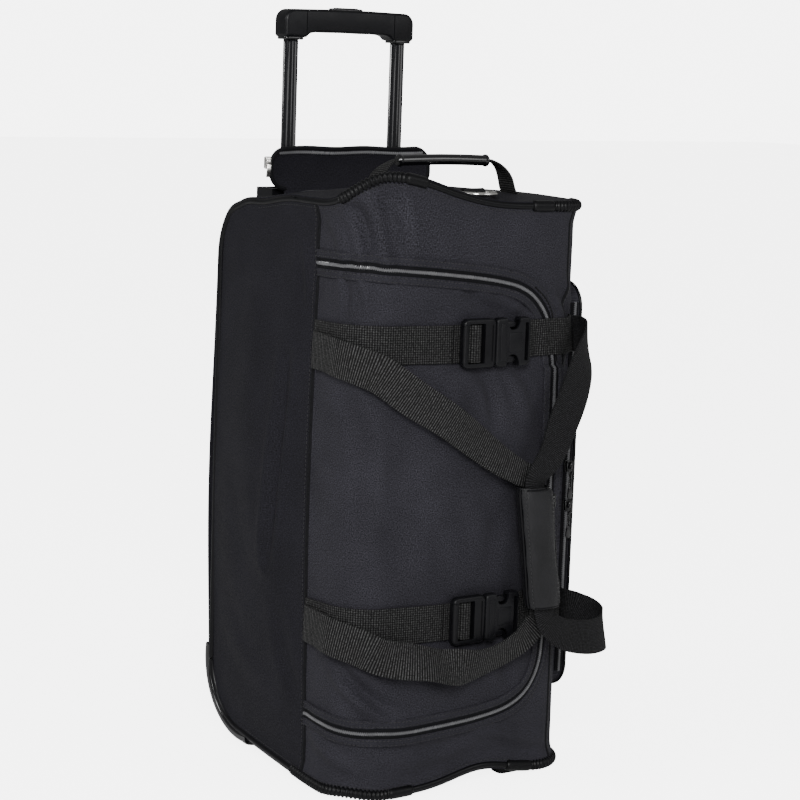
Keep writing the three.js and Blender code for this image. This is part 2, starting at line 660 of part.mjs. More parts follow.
function rectangularTube({ x, y, wall, low, high }, centreX) {
  const outline = (inset, radius) => roundedRect(
    centreX - x / 2 + inset,
    centreX + x / 2 - inset,
    POST_Y - y / 2 + inset,
    POST_Y + y / 2 - inset,
    radius,
    2,
  );
  return cut(prismZ(outline(0, 2.4), low, high), prismZ(outline(wall, 1.4), low - 1, high + 1));
}

function buildTrolleyTubes() {
  for (const [name, sign] of [["near", -1], ["far", 1]]) {
    const x = (sign * POST_SPACING) / 2;
    place(`outer_tube_${name}`, "tube", rectangularTube(OUTER_TUBE, x));
    place(`inner_tube_${name}`, "tube", rectangularTube(INNER_TUBE, x));
    place(`push_rod_${name}`, "steel", prismZ(circle(x, POST_Y, ROD_RADIUS, 8), ROD_LOW_Z, YOKE.z - GAP));
  }
}

function buildGrip() {
  const half = POST_SPACING / 2;
  const w = GRIP_HALF_WIDTH;
  const legInner = w - GRIP.legWidth;
  const { legZ, bellyZ, corner, belly } = GRIP;
  const outline = [
    new THREE.Vector2(-w, legZ),
    new THREE.Vector2(-legInner, legZ),
    ...arc(-legInner + 10, legZ + 4, 10, 180, 110, 3),
    new THREE.Vector2(-belly, bellyZ),
    new THREE.Vector2(belly, bellyZ),
    ...arc(legInner - 10, legZ + 4, 10, 70, 0, 3),
    new THREE.Vector2(legInner, legZ),
    new THREE.Vector2(w, legZ),
    ...arc(w - corner, GRIP_TOP_Z - corner, corner, 0, 90, 4),
    ...arc(-w + corner, GRIP_TOP_Z - corner, corner, 90, 180, 4),
  ];
  const around = (size) => [POST_Y - size, POST_Y + size];
  const bar = prismY(outline, ...around(GRIP.y));
  const roomLow = YOKE.z - PRESS - 1;
  const yokeRoom = box([-half - 4, half + 4], around(YOKE.half + 0.5), [roomLow, YOKE.z + 5]);
  const [capX, capY] = [BUTTON.x + BUTTON.room, BUTTON.y + BUTTON.room];
  const buttonRoom = box([-capX, capX], around(capY), [roomLow, GRIP_TOP_Z + 1]);
  const socketLow = legZ - LEG_SOCKET.below;
  const legRooms = [-half, half].flatMap((x) => [
    box(
      [x - LEG_SOCKET.x, x + LEG_SOCKET.x],
      around(LEG_SOCKET.y),
      [socketLow, INNER_TUBE.high + GAP],
    ),
    box([x - LEG_SOCKET.rod, x + LEG_SOCKET.rod], around(LEG_SOCKET.rod), [socketLow, YOKE.z]),
  ]);
  place("trolley_grip", "plastic", cut(bar, yokeRoom, buttonRoom, ...legRooms));
  const yoke = box([-half - YOKE.half, half + YOKE.half], around(YOKE.half), [YOKE.z, YOKE.z + YOKE.high]);
  const cap = box([-BUTTON.x, BUTTON.x], around(BUTTON.y), [YOKE.z, GRIP_TOP_Z + BUTTON.proud]);
  place("grip_button", "gloss", join(yoke, cap));
}

function buildTrolleyMount() {
  const { x, y, z } = HANDLE_HOUSING;
  const { side, front, back, floor } = HOUSING_WELL;
  const well = box([-x + side, x - side], [y[0] + front, y[1] - back], [z[0] + floor, z[1] + 1]);
  const holes = [-POST_SPACING / 2, POST_SPACING / 2].map((cx) =>
    box(
      [cx - HOUSING_HOLE.x, cx + HOUSING_HOLE.x],
      [POST_Y - HOUSING_HOLE.y, POST_Y + HOUSING_HOLE.y],
      [z[0] - 1, z[0] + floor + 1],
    ),
  );
  place("handle_housing", "plastic", cut(box([-x, x], y, z), well, ...holes));
  place("back_board", "board", box([-BACK_BOARD.x, BACK_BOARD.x], BACK_BOARD.y, BACK_BOARD.z));
  place("bottom_bracket", "plastic", box([-BRACKET.x, BRACKET.x], BRACKET.y, BRACKET.z));
}

// ---- Wheels ----
const HOUSING_ANGLES = [-97, 6]; // how far the housing's rim runs round the corner, in degrees
const WELL_WALL = 3.5;
const WHEEL_CLEARANCE = { round: 3.5, side: 3 };
const AXLE_RADIUS = 3.1;
const AXLE_CLEARANCE = 0.3;
const TREAD_SHOULDER = { radius: 4, width: 5 };

function buildWheel(name, sign) {
  const around = (beyond) => {
    const ends = [WHEEL_X + WHEEL_WIDTH / 2 + beyond, WHEEL_X - WHEEL_WIDTH / 2 - beyond];
    return ends.map((x) => sign * x).sort((a, b) => a - b);
  };
  const disc = (radius, steps, span) => prismX(circle(WHEEL_Y, WHEEL_RADIUS, radius, steps), ...span);
  const centre = SURFACE.bottomArc;
  const [rimInner, rimOuter] = HOUSING_RIM;
  const [low, high] = HOUSING_ANGLES;
  const rim = [
    ...arc(centre.x, centre.y, rimOuter, low, high, 12),
    ...arc(centre.x, centre.y, rimInner, high, low, 12),
  ];
  const shellX = [sign * HOUSING_OUTER_X, sign * HOUSING_INNER_X].sort((a, b) => a - b);
  const shell = prismX(rim, ...shellX);
  const drum = common(
    disc(WHEEL_RADIUS + WHEEL_CLEARANCE.round + WELL_WALL, 28, around(WHEEL_CLEARANCE.side + WELL_WALL)),
    prismX(circle(centre.x, centre.y, rimOuter - 0.2, 48), -FAR, FAR),
  );
  const wheelRoom = disc(WHEEL_RADIUS + WHEEL_CLEARANCE.round, 28, around(WHEEL_CLEARANCE.side));
  const axleRoom = disc(AXLE_RADIUS + AXLE_CLEARANCE, 12, [-FAR, FAR]);
  place(`wheel_housing_${name}`, "gloss", cut(join(shell, drum), wheelRoom, axleRoom));

  const hub = AXLE_RADIUS + AXLE_CLEARANCE;
  const edge = WHEEL_WIDTH / 2;
  const { radius, width } = TREAD_SHOULDER;
  const profile = [
    new THREE.Vector2(hub, -edge),
    new THREE.Vector2(WHEEL_RADIUS - radius, -edge),
    new THREE.Vector2(WHEEL_RADIUS, -edge + width),
    new THREE.Vector2(WHEEL_RADIUS, edge - width),
    new THREE.Vector2(WHEEL_RADIUS - radius, edge),
    new THREE.Vector2(hub, edge),
    new THREE.Vector2(hub, -edge),
  ];
  const wheel = new THREE.LatheGeometry(profile, 32).rotateZ(Math.PI / 2);
  place(`wheel_${name}`, "rubber", solid(wheel.translate(sign * WHEEL_X, WHEEL_Y, WHEEL_RADIUS)));
  place(`axle_${name}`, "steel", disc(AXLE_RADIUS, 12, around(2 * WHEEL_CLEARANCE.side + 2)));
}

const FOOT = { x: 78, half: 17, y: [-120, -100], corner: 6 };

function buildFeet() {
  for (const [name, sign] of [["near", -1], ["far", 1]]) {
    const x = sign * FOOT.x;
    const outline = roundedRect(x - FOOT.half, x + FOOT.half, ...FOOT.y, FOOT.corner, 3);
    place(`foot_${name}`, "rubber", prismZ(outline, 0, FRONT_BOTTOM_Z - GAP));
  }
}

// ---- Far-side pocket ----
const POCKET_WALL = 2.4;
const POCKET_ZIP_X = 160;
const POCKET_ZIP_HALF = 5;
const POCKET_SLIDERS = { upper: 322, lower: 279 };
const POCKET_PULL_LENGTH = 26;

function buildPocket() {
  const low = BODY_HALF_WIDTH + GAP;
  const outline = (inset) => roundedRect(
    POCKET_Y[0] + inset,
    POCKET_Y[1] - inset,
    POCKET_Z[0] + inset,
    POCKET_Z[1] - inset,
    POCKET_RADIUS - inset,
  );
  const outer = prismX(outline(0), low, POCKET_OUTER_X);
  const inner = prismX(outline(POCKET_WALL), low - 1, POCKET_OUTER_X - POCKET_WALL);
  place("pocket_shell", "canvas", cut(outer, inner));
  const zipY = [POCKET_Y[0] - ZIP_TAPE[1], POCKET_Y[0] - GAP];
  const zipZ = [POCKET_Z[0] + POCKET_RADIUS, POCKET_Z[1] - POCKET_RADIUS];
  const zipX = [POCKET_ZIP_X - POCKET_ZIP_HALF, POCKET_ZIP_X + POCKET_ZIP_HALF];
  place("pocket_zip", "coil", box(zipX, zipY, zipZ));
  for (const [name, z] of Object.entries(POCKET_SLIDERS)) {
    const [slider, pull] = [`pocket_slider_${name}`, `pocket_pull_${name}`];
    buildSlider(slider, pull, POCKET_ZIP_X, zipY[0] - GAP, z, POCKET_PULL_LENGTH);
  }
}

// ---- Flap beside the trolley ----
const FLAP = { x: [-106, 98], y: [104, 107], z: [TOP_Z + 2.6, 651], corner: 18 };
const FLAP_SLIDER = { width: 8, up: [22, 34], ahead: 2 };

function buildTrolleyFlap() {
  const { x, y, z } = FLAP;
  const { width, up, ahead } = FLAP_SLIDER;
  place("trolley_flap", "canvas", prismY(roundedRect(...x, ...z, FLAP.corner, 4), ...y));
  const sliderZ = up.map((rise) => z[0] + rise);
  place("flap_slider", "silver", box([x[0] - width, x[0] - GAP], [y[0] - ahead, y[1]], sliderZ));
}

buildPiping();
buildPanels();
buildMainZip();
buildCompressionStrap("upper", UPPER_STRAP_Z);
buildCompressionStrap("lower", LOWER_STRAP_Z);
buildCarryHandles();
buildGrabHandle();
buildDRing();
buildTrolleyTubes();
buildGrip();
buildTrolleyMount();
buildWheel("near", -1);
buildWheel("far", 1);
buildFeet();
buildPocket();
buildTrolleyFlap();

// The frame's origin is the middle of the whole object's footprint, on the floor.
const extent = new THREE.Box3().setFromObject(bag);
const middle = extent.getCenter(V(0, 0, 0));
bag.position.set(-middle.x, -middle.y, -extent.min.z);

export default bag;
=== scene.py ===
"""Looks of a soft wheeled duffel bag that stands on its end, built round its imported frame.

Sizes are millimetres in the bag's own axes: X across from the middle of the body, the front face
towards -Y, Z up from the floor. They become the frame's metres when a mesh is made.
"""
import logging
import math
from dataclasses import dataclass, field
from enum import Enum
from typing import Iterable, Sequence

import bmesh
import bpy
import numpy as np
from mathutils import Matrix, Vector


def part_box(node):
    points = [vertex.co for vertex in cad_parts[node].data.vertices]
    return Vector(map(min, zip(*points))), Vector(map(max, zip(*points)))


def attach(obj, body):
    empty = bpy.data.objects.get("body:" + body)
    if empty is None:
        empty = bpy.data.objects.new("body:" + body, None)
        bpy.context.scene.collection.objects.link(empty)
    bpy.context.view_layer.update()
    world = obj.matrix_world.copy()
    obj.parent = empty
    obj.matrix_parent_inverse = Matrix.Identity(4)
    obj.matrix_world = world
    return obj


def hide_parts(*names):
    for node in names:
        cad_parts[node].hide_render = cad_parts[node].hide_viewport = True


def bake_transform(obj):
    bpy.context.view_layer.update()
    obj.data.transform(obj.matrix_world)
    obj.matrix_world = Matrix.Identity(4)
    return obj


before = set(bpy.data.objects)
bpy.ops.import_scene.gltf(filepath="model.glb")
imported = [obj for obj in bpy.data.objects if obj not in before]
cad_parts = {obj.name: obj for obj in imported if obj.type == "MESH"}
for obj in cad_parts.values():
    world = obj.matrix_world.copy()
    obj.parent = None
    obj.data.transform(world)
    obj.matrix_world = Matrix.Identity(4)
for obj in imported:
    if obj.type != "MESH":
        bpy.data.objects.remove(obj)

LOG = logging.getLogger("duffel")
MM = 0.001
Array = np.ndarray
Faces = list


class Slot(Enum):
    """The record's material slots."""

    CANVAS = "canvas"
    COIL = "coil"
    WEBBING = "webbing"
    LEATHER = "leather"
    PLASTIC = "plastic"
    GLOSS = "gloss"
    TUBE = "tube"
    BOARD = "board"
    RUBBER = "rubber"
    SILVER = "silver"
    STEEL = "steel"


class Side(Enum):
    """The bag's two sides, valued by their sign along X."""

    NEAR = -1
    FAR = 1

    @property
    def word(self) -> str:
        """The side's word in node names."""
        return self.name.lower()


# ---- Finishes ----
class NodeSketch:
    """A material under construction, with short ways to add and join its nodes."""

    def __init__(self, name: str) -> None:
        """Starts an empty material with its shader.

        Args:
            name: the material's name.
        """
        self.material = bpy.data.materials.new(name)
        self.material.use_nodes = True
        self.tree = self.material.node_tree
        self.tree.nodes.clear()
        self.shader = self.add("ShaderNodeBsdfPrincipled")
        output = self.add("ShaderNodeOutputMaterial")
        self.tree.links.new(self.shader.outputs[0], output.inputs[0])

    def add(self, kind: str, inputs: dict | None = None, **settings: object) -> bpy.types.Node:
        """Adds one node.

        Args:
            kind: the node's type.
            inputs: values or output sockets by input name or index.
            settings: the node's own properties.

        Returns:
            The new node.
        """
        node = self.tree.nodes.new(kind)
        for key, value in settings.items():
            setattr(node, key, value)
        for key, value in (inputs or {}).items():
            self.feed(node.inputs[key], value)
        return node

    def feed(self, socket: bpy.types.NodeSocket, value: object) -> None:
        """Links an input to another node's output, or gives it a value."""
        if isinstance(value, bpy.types.NodeSocket):
            self.tree.links.new(value, socket)
        else:
            socket.default_value = value

    def set(self, **values: object) -> None:
        """Sets or links the shader's sockets, with _ for each space in a socket's name."""
        for key, value in values.items():
            self.feed(self.shader.inputs[key.replace("_", " ")], value)

    def cloth_place(self) -> bpy.types.NodeSocket:
        """The place on the cloth, in metres along its weft and warp."""
        return self.add("ShaderNodeUVMap", uv_map="cloth").outputs[0]

    def object_place(self) -> bpy.types.NodeSocket:
        """The place in the object's own axes, in metres."""
        return self.add("ShaderNodeTexCoord").outputs["Object"]

    def bands(self, place: bpy.types.NodeSocket, pitch: float, axis: str) -> bpy.types.NodeSocket:
        """Even sine ridges.

        Args:
            place: coordinates in metres.
            pitch: distance between ridges, in millimetres.
            axis: X, Y, Z or DIAGONAL.

        Returns:
            The ridges' height, 0 to 1.
        """
        full_turn = 2 * math.pi / 20
        wave = self.add("ShaderNodeTexWave", {"Vector": place, "Scale": full_turn / (pitch * MM)},
                        wave_type="BANDS", bands_direction=axis)
        return wave.outputs["Fac"]

    def noise(self, place: bpy.types.NodeSocket, size: float, detail: float = 2.0) -> bpy.types.NodeSocket:
        """Cloudy noise.

        Args:
            place: coordinates in metres.
            size: rough size of a spot, in millimetres.
            detail: how many finer layers it has.

        Returns:
            The noise, about 0.3 to 0.7.
        """
        inputs = {"Vector": place, "Scale": 1 / (size * MM), "Detail": detail}
        return self.add("ShaderNodeTexNoise", inputs).outputs["Fac"]

    def math(self, operation: str, first: object, second: object = 0.0) -> bpy.types.NodeSocket:
        """One sum on two values or sockets."""
        return self.add("ShaderNodeMath", {0: first, 1: second}, operation=operation).outputs[0]

    def ramp(self, value: object, low: float, high: float, out_low: float,
             out_high: float) -> bpy.types.NodeSocket:
        """Maps a value from one range to another, clamped."""
        inputs = {"Value": value, "From Min": low, "From Max": high, "To Min": out_low, "To Max": out_high}
        return self.add("ShaderNodeMapRange", inputs).outputs[0]

    def shade(self, color: Sequence[float], factor: bpy.types.NodeSocket) -> bpy.types.NodeSocket:
        """A colour made darker or lighter by a factor.

        Args:
            color: red, green and blue.
            factor: what to multiply it by.

        Returns:
            The colour.
        """
        grey = self.add("ShaderNodeCombineColor", {0: factor, 1: factor, 2: factor}).outputs[0]
        inputs = {"Factor": 1.0, 6: (*color, 1.0), 7: grey}
        return self.add("ShaderNodeMix", inputs, data_type="RGBA", blend_type="MULTIPLY").outputs[2]

    def bump(self, height: bpy.types.NodeSocket, depth: float, below: object = None) -> bpy.types.NodeSocket:
        """Turns a height into a surface normal.

        Args:
            height: the height, 0 to 1.
            depth: how deep it is, in millimetres.
            below: an earlier normal to build on.

        Returns:
            The normal.
        """
        inputs = {"Height": height, "Distance": depth * MM, "Strength": 1.0}
        if below is not None:
            inputs["Normal"] = below
        return self.add("ShaderNodeBump", inputs).outputs[0]


@dataclass(frozen=True)
class Finish:
    """What every finish has: a name, the slot it fills and its colour."""

    name: str
    slot: Slot
    color: tuple[float, float, float]

    def draw(self, sketch: NodeSketch) -> None:
        """Adds the finish's own nodes."""
        sketch.set(Base_Color=(*self.color, 1.0))

    def material(self) -> bpy.types.Material:
        """The finish's material, made the first time it is asked for."""
        found = bpy.data.materials.get(self.name)
        if found is None:
            sketch = NodeSketch(self.name)
            self.draw(sketch)
            found = sketch.material
        return found


@dataclass(frozen=True)
class CanvasFinish(Finish):
    """Plain-woven polyester, with the glints of its threads, which catch the light unevenly, painted into its
    colour as speckle.
    """

    pitch: float = 1.15
    depth: float = 0.22
    sheen: float = 0.015

    def draw(self, sketch: NodeSketch) -> None:
        """Adds the weave with painted shade in its valleys, the painted glint speckle and broad fading."""
        cloth = sketch.cloth_place()
        over = sketch.bands(cloth, self.pitch, "X")
        under = sketch.bands(cloth, self.pitch, "Y")
        weave = sketch.math("MULTIPLY", over, under)
        # painted highlights: the threads' glints as speckle in the base colour
        speckle = sketch.ramp(sketch.noise(cloth, 1.15, 2.0), 0.3, 0.7, 0.2, 2.0)
        cloud = sketch.ramp(sketch.noise(cloth, 60.0, 3.0), 0.3, 0.7, 0.86, 1.14)
        # painted shade: the weave's valleys darker and its tops lighter in the base colour
        thread = sketch.ramp(weave, 0.0, 1.0, 0.8, 1.2)
        tone = sketch.math("MULTIPLY", sketch.math("MULTIPLY", speckle, cloud), thread)
        rough = sketch.ramp(sketch.noise(cloth, 2.0, 1.0), 0.3, 0.7, 0.62, 0.8)
        grain = sketch.bump(sketch.noise(cloth, 1.8, 2.0), 0.25)
        sketch.set(Base_Color=sketch.shade(self.color, tone), Roughness=rough,
                   Sheen_Weight=self.sheen, Sheen_Roughness=0.45, Specular_IOR_Level=0.1,
                   Normal=sketch.bump(weave, self.depth, grain))


@dataclass(frozen=True)
class WebbingFinish(Finish):
    """Ribbed webbing: ridges across the strap, each split in small stitches."""

    rib: float = 2.6
    stitch: float = 2.4
    share: float = 0.4

    def draw(self, sketch: NodeSketch) -> None:
        """Adds the ribs, the stitches, painted shade in the valleys between them and painted highlights on the
        ridges.
        """
        cloth = sketch.cloth_place()
        rib = sketch.bands(cloth, self.rib, "X")
        stitch = sketch.bands(cloth, self.stitch, "Y")
        height = sketch.math("ADD", sketch.math("MULTIPLY", rib, 1 - self.share),
                             sketch.math("MULTIPLY", stitch, self.share))
        # painted shade in the valleys and painted highlights on the ridges, in the base colour
        valley_shade = sketch.ramp(height, 0.3, 0.95, 0.08, 2.3)
        fibre = sketch.ramp(sketch.noise(cloth, 2.0, 1.0), 0.34, 0.66, 0.35, 1.8)
        sketch.set(Base_Color=sketch.shade(self.color, sketch.math("MULTIPLY", valley_shade, fibre)),
                   Roughness=sketch.ramp(height, 0.0, 1.0, 0.85, 0.58),
                   Sheen_Weight=0.01, Sheen_Roughness=0.4, Specular_IOR_Level=0.15,
                   Normal=sketch.bump(height, 0.6))


@dataclass(frozen=True)
class LeatherFinish(Finish):
    """Coated leather with a fine pebble grain, worn a little smoother where it is held."""

    def draw(self, sketch: NodeSketch) -> None:
        """Adds the pebbles and the handling wear."""
        place = sketch.object_place()
        cells = sketch.add("ShaderNodeTexVoronoi", {"Vector": place, "Scale": 1 / (1.3 * MM)},
                           feature="DISTANCE_TO_EDGE").outputs["Distance"]
        pebble = sketch.ramp(cells, 0.0, 0.25, 0.0, 1.0)
        wear = sketch.noise(place, 25.0, 3.0)
        tone = sketch.ramp(wear, 0.3, 0.7, 0.8, 1.25)
        sketch.set(Base_Color=sketch.shade(self.color, tone), Roughness=sketch.ramp(wear, 0.3, 0.7, 0.3, 0.44),
                   Specular_IOR_Level=0.22, Coat_Weight=0.05, Coat_Roughness=0.25,
                   Normal=sketch.bump(pebble, 0.09))


@dataclass(frozen=True)
class MouldedFinish(Finish):
    """Moulded plastic or rubber: a fine mould texture, and edges rubbed a little lighter."""

    roughness: float = 0.4
    texture: float = 0.05
    coat: float = 0.0
    metallic: float = 0.0
    shine: float = 0.15

    def draw(self, sketch: NodeSketch) -> None:
        """Adds the mould texture, faint scuffs and edge wear."""
        place = sketch.object_place()
        fine = sketch.noise(place, 0.6, 2.0)
        scuff = sketch.noise(place, 14.0, 4.0)
        edge = sketch.ramp(sketch.add("ShaderNodeNewGeometry").outputs["Pointiness"], 0.5, 0.58, 1.0, 1.5)
        tone = sketch.math("MULTIPLY", sketch.ramp(scuff, 0.3, 0.7, 0.88, 1.12), edge)
        rough = sketch.ramp(scuff, 0.3, 0.7, self.roughness * 0.85, self.roughness * 1.2)
        sketch.set(Base_Color=sketch.shade(self.color, tone), Roughness=rough, Metallic=self.metallic,
                   Specular_IOR_Level=self.shine, Coat_Weight=self.coat, Coat_Roughness=0.12,
                   Normal=sketch.bump(fine, self.texture))


@dataclass(frozen=True)
class MetalFinish(Finish):
    """Plated or plain metal with faint drawing lines and dulled spots."""

    roughness: float = 0.2

    def draw(self, sketch: NodeSketch) -> None:
        """Adds the drawing lines and the dull spots."""
        place = sketch.object_place()
        lines = sketch.noise(place, 1.2, 3.0)
        dull = sketch.noise(place, 6.0, 3.0)
        rough = sketch.ramp(dull, 0.3, 0.7, self.roughness * 0.7, self.roughness * 1.6)
        sketch.set(Base_Color=sketch.shade(self.color, sketch.ramp(dull, 0.3, 0.7, 0.85, 1.05)),
                   Metallic=1.0, Roughness=rough, Normal=sketch.bump(lines, 0.02))


@dataclass(frozen=True)
class ThreadFinish(Finish):
    """Twisted sewing thread."""

    def draw(self, sketch: NodeSketch) -> None:
        """Adds the twist."""
        place = sketch.object_place()
        twist = sketch.bands(place, 0.5, "DIAGONAL")
        sketch.set(Base_Color=sketch.shade(self.color, sketch.ramp(twist, 0.0, 1.0, 0.7, 1.2)),
                   Roughness=0.55, Normal=sketch.bump(twist, 0.08))


CANVAS = CanvasFinish("canvas_charcoal", Slot.CANVAS, (0.0190, 0.0183, 0.0232))
# The same canvas made darker as painted shade, used on the near side, the strip over top, back and bottom, the
# hinge tape and the trolley flap.
CANVAS_PAINTED_SHADE = CanvasFinish("canvas_painted_shade", Slot.CANVAS, (0.0092, 0.0088, 0.0118), sheen=0.01)
BINDING = CanvasFinish("binding_tape", Slot.CANVAS, (0.004, 0.004, 0.005), pitch=0.8, depth=0.12, sheen=0.02)
TAPE = CanvasFinish("zip_tape", Slot.COIL, (0.003, 0.003, 0.004), pitch=0.7, depth=0.1, sheen=0.01)
WEBBING = WebbingFinish("webbing_basket", Slot.WEBBING, (0.0125, 0.0125, 0.0125))
WEBBING_RIBBED = WebbingFinish("webbing_corded", Slot.WEBBING, (0.0150, 0.0150, 0.0150), share=0.1)
WEBBING_DARK = WebbingFinish("webbing_fine", Slot.WEBBING, (0.0070, 0.0070, 0.0076), rib=1.8, stitch=1.6)
LEATHER = LeatherFinish("leather_wrap", Slot.LEATHER, (0.0070, 0.0070, 0.0080))
PLASTIC = MouldedFinish("moulded_satin", Slot.PLASTIC, (0.0034, 0.0034, 0.0042), roughness=0.4, coat=0.02)
PIPING_VINYL = MouldedFinish("piping_vinyl", Slot.PLASTIC, (0.0015, 0.0015, 0.0020), roughness=0.34, coat=0.02)
GLOSS = MouldedFinish("moulded_gloss", Slot.GLOSS, (0.002, 0.002, 0.0025), roughness=0.16, texture=0.01,
                       coat=0.2, shine=0.5)
TUBE = MouldedFinish("anodised_tube", Slot.TUBE, (0.003, 0.003, 0.004), roughness=0.16, texture=0.008,
                      coat=0.05, shine=0.35)
BOARD = MouldedFinish("stiff_board", Slot.BOARD, (0.05, 0.05, 0.052), roughness=0.7, texture=0.15)
RUBBER = MouldedFinish("rubber_black", Slot.RUBBER, (0.0022, 0.0022, 0.0026), roughness=0.38, texture=0.12)
COIL = MouldedFinish("nylon_coil", Slot.COIL, (0.055, 0.055, 0.058), roughness=0.25, texture=0.01,
                      coat=0.2, shine=0.5)
SILVER = MetalFinish("nickel_bright", Slot.SILVER, (0.78, 0.77, 0.74), roughness=0.16)
STEEL = MetalFinish("steel_plain", Slot.STEEL, (0.45, 0.45, 0.46), roughness=0.32)
THREAD = ThreadFinish("thread_black", Slot.CANVAS, (0.006, 0.006, 0.007))


# ---- Shapes as points and faces, in millimetres ----
@dataclass
class Stock:
    """Points, faces and cloth places of one mesh while it is put together."""

    points: list[Array] = field(default_factory=list)
    faces: Faces = field(default_factory=list)
    cloth: list[Array] = field(default_factory=list)
    count: int = 0

    def add(self, points: Array, faces: Iterable[Sequence[int]], cloth: Array | None = None) -> "Stock":
        """Adds a shape.

        Args:
            points: its points, in millimetres.
            faces: its faces, by the points' numbers.
            cloth: each point's place on its cloth, in millimetres, or None to take it from X and Z.

        Returns:
            This stock.
        """
        points = np.asarray(points, float).reshape(-1, 3)
        cloth = points[:, [0, 2]] + points[:, [1]] if cloth is None else np.asarray(cloth, float).reshape(-1, 2)
        self.points.append(points)
        self.cloth.append(cloth)
        self.faces += [tuple(int(i) + self.count for i in face) for face in faces]
        self.count += len(points)
        return self

    def merge(self, other: "Stock") -> "Stock":
        """Adds all of another stock's shapes."""
        return self.add(np.concatenate(other.points), other.faces, np.concatenate(other.cloth))


def grid_faces(rows: int, columns: int, start: int = 0, wrap: bool = False) -> Array:
    """Quads of a grid of points stored row by row.

    Args:
        rows: how many rows of points.
        columns: how many points in a row.
        start: the first point's number.
        wrap: whether each row closes on itself.

    Returns:
        The quads, one row each.
    """
    across = columns if wrap else columns - 1
    i, j = np.meshgrid(np.arange(rows - 1), np.arange(across), indexing="ij")
    here = i * columns + j
    right = i * columns + (j + 1) % columns
    quads = np.stack([here, right, right + columns, here + columns], axis=-1)
    return quads.reshape(-1, 4) + start


def grid_normals(points: Array) -> Array:
    """Unit normals of a grid of points, by its neighbours."""
    normals = np.cross(np.gradient(points, axis=1), np.gradient(points, axis=0))
    length = np.linalg.norm(normals, axis=-1, keepdims=True)
    return normals / np.maximum(length, 1e-9)


def slab(outer: Array, thickness: float, cloth: Array | None = None, keep: Array | None = None,
         normals: Array | None = None) -> Stock:
    """A closed sheet with thickness, under a grid of points.

    Args:
        outer: the outer face's points, rows by columns.
        thickness: how thick it is, towards the back of the normals.
        cloth: places on the cloth for the same grid.
        keep: which cells are kept, for a sheet with notches.
        normals: directions out of the outer face, or None to work them out.

    Returns:
        The sheet's shape.
    """
    rows, columns = outer.shape[:2]
    normals = grid_normals(outer) if normals is None else normals
    inner = outer - normals * thickness
    total = rows * columns
    top = grid_faces(rows, columns)
    if keep is not None:
        top = top[keep.reshape(-1)]
    edges: dict[tuple[int, int], int] = {}
    for face in top.tolist():
        for a, b in zip(face, face[1:] + face[:1]):
            if edges.pop((b, a), None) is None:
                edges[(a, b)] = 1
    faces = [tuple(face[::-1]) for face in top.tolist()]
    faces += [tuple(v + total for v in face) for face in top.tolist()]
    faces += [(a, b, b + total, a + total) for a, b in edges]
    places = None
    if cloth is not None:
        flat = cloth.reshape(-1, 2)
        places = np.concatenate([flat, flat])
    return Stock().add(np.concatenate([outer.reshape(-1, 3), inner.reshape(-1, 3)]), faces, places)


def unit(vectors: Array) -> Array:
    """Vectors brought to length 1."""
    return vectors / np.maximum(np.linalg.norm(vectors, axis=-1, keepdims=True), 1e-9)


def tangents(path: Array, closed: bool = False) -> Array:
    """Directions along a path of points."""
    if closed:
        return unit(np.roll(path, -1, axis=0) - np.roll(path, 1, axis=0))
    return unit(np.gradient(path, axis=0))


def lengths(path: Array) -> Array:
    """Distance along a path at each of its points."""
    steps = np.linalg.norm(np.diff(path, axis=0), axis=1)
    return np.concatenate([[0.0], np.cumsum(steps)])


def resample(path: Array, step: float) -> Array:
    """A path's points at even steps.

    Args:
        path: the points.
        step: the distance wanted between points.

    Returns:
        The new points, with the same ends.
    """
    at = lengths(path)
    count = max(2, int(round(at[-1] / step)) + 1)
    wanted = np.linspace(0, at[-1], count)
    return np.stack([np.interp(wanted, at, path[:, k]) for k in range(path.shape[1])], axis=1)


def resample_loop(path: Array, step: float) -> Array:
    """A closed path's points at even steps, with the first point only once."""
    return resample(np.concatenate([path, path[:1]]), step)[:-1]


def spline(knots: Array, per_span: int = 12) -> Array:
    """A smooth curve through knots.

    Args:
        knots: the knots, one row each, with any number of values.
        per_span: steps from a knot to the next.

    Returns:
        The curve's values.
    """
    knots = np.asarray(knots, float)
    ends = np.concatenate([[2 * knots[0] - knots[1]], knots, [2 * knots[-1] - knots[-2]]])
    t = np.linspace(0, 1, per_span, endpoint=False)[:, None]
    spans = []
    for a, b, c, d in zip(ends, ends[1:], ends[2:], ends[3:]):
        spans.append(0.5 * (2 * b + (c - a) * t + (2 * a - 5 * b + 4 * c - d) * t**2
                            + (3 * b - a - 3 * c + d) * t**3))
    return np.concatenate([*spans, knots[-1:]])


def faces_out(points: Array, quads: Array) -> bool:
    """Whether the quads of a closed shape face outwards, by the sign of its volume."""
    a, b, c = (points[quads[:, k]] for k in range(3))
    return bool(np.einsum("ij,ij->i", a, np.cross(b, c)).sum() > 0)


def sweep(path: Array, across: Array, out: Array, section: Array, closed: bool = False) -> Stock:
    """A section carried along a path.

    Args:
        path: the stations.
        across: each station's first direction.
        out: each station's second direction.
        section: points of the section, the same for all stations or one set for each.
        closed: whether the path closes on itself.

    Returns:
        The closed shape.
    """
    count = len(path)
    section = np.broadcast_to(section, (count, *section.shape[-2:]))
    sides = section.shape[1]
    points = path[:, None] + across[:, None] * section[..., :1] + out[:, None] * section[..., 1:]
    ring = np.concatenate([section[0], section[0][:1]])
    around = np.concatenate([[0.0], np.cumsum(np.linalg.norm(np.diff(ring, axis=0), axis=1))])[:-1]
    along = lengths(path)
    cloth = np.stack(np.broadcast_arrays(along[:, None], around[None, :]), axis=-1)
    quads = grid_faces(count + (1 if closed else 0), sides, wrap=True) % (count * sides)
    faces = quads.tolist()
    if not closed:
        faces.append(list(range(sides)))
        faces.append([(count - 1) * sides + k for k in range(sides - 1, -1, -1)])
    if not faces_out(points.reshape(-1, 3), quads):
        faces = [face[::-1] for face in faces]
    return Stock().add(points, faces, cloth)


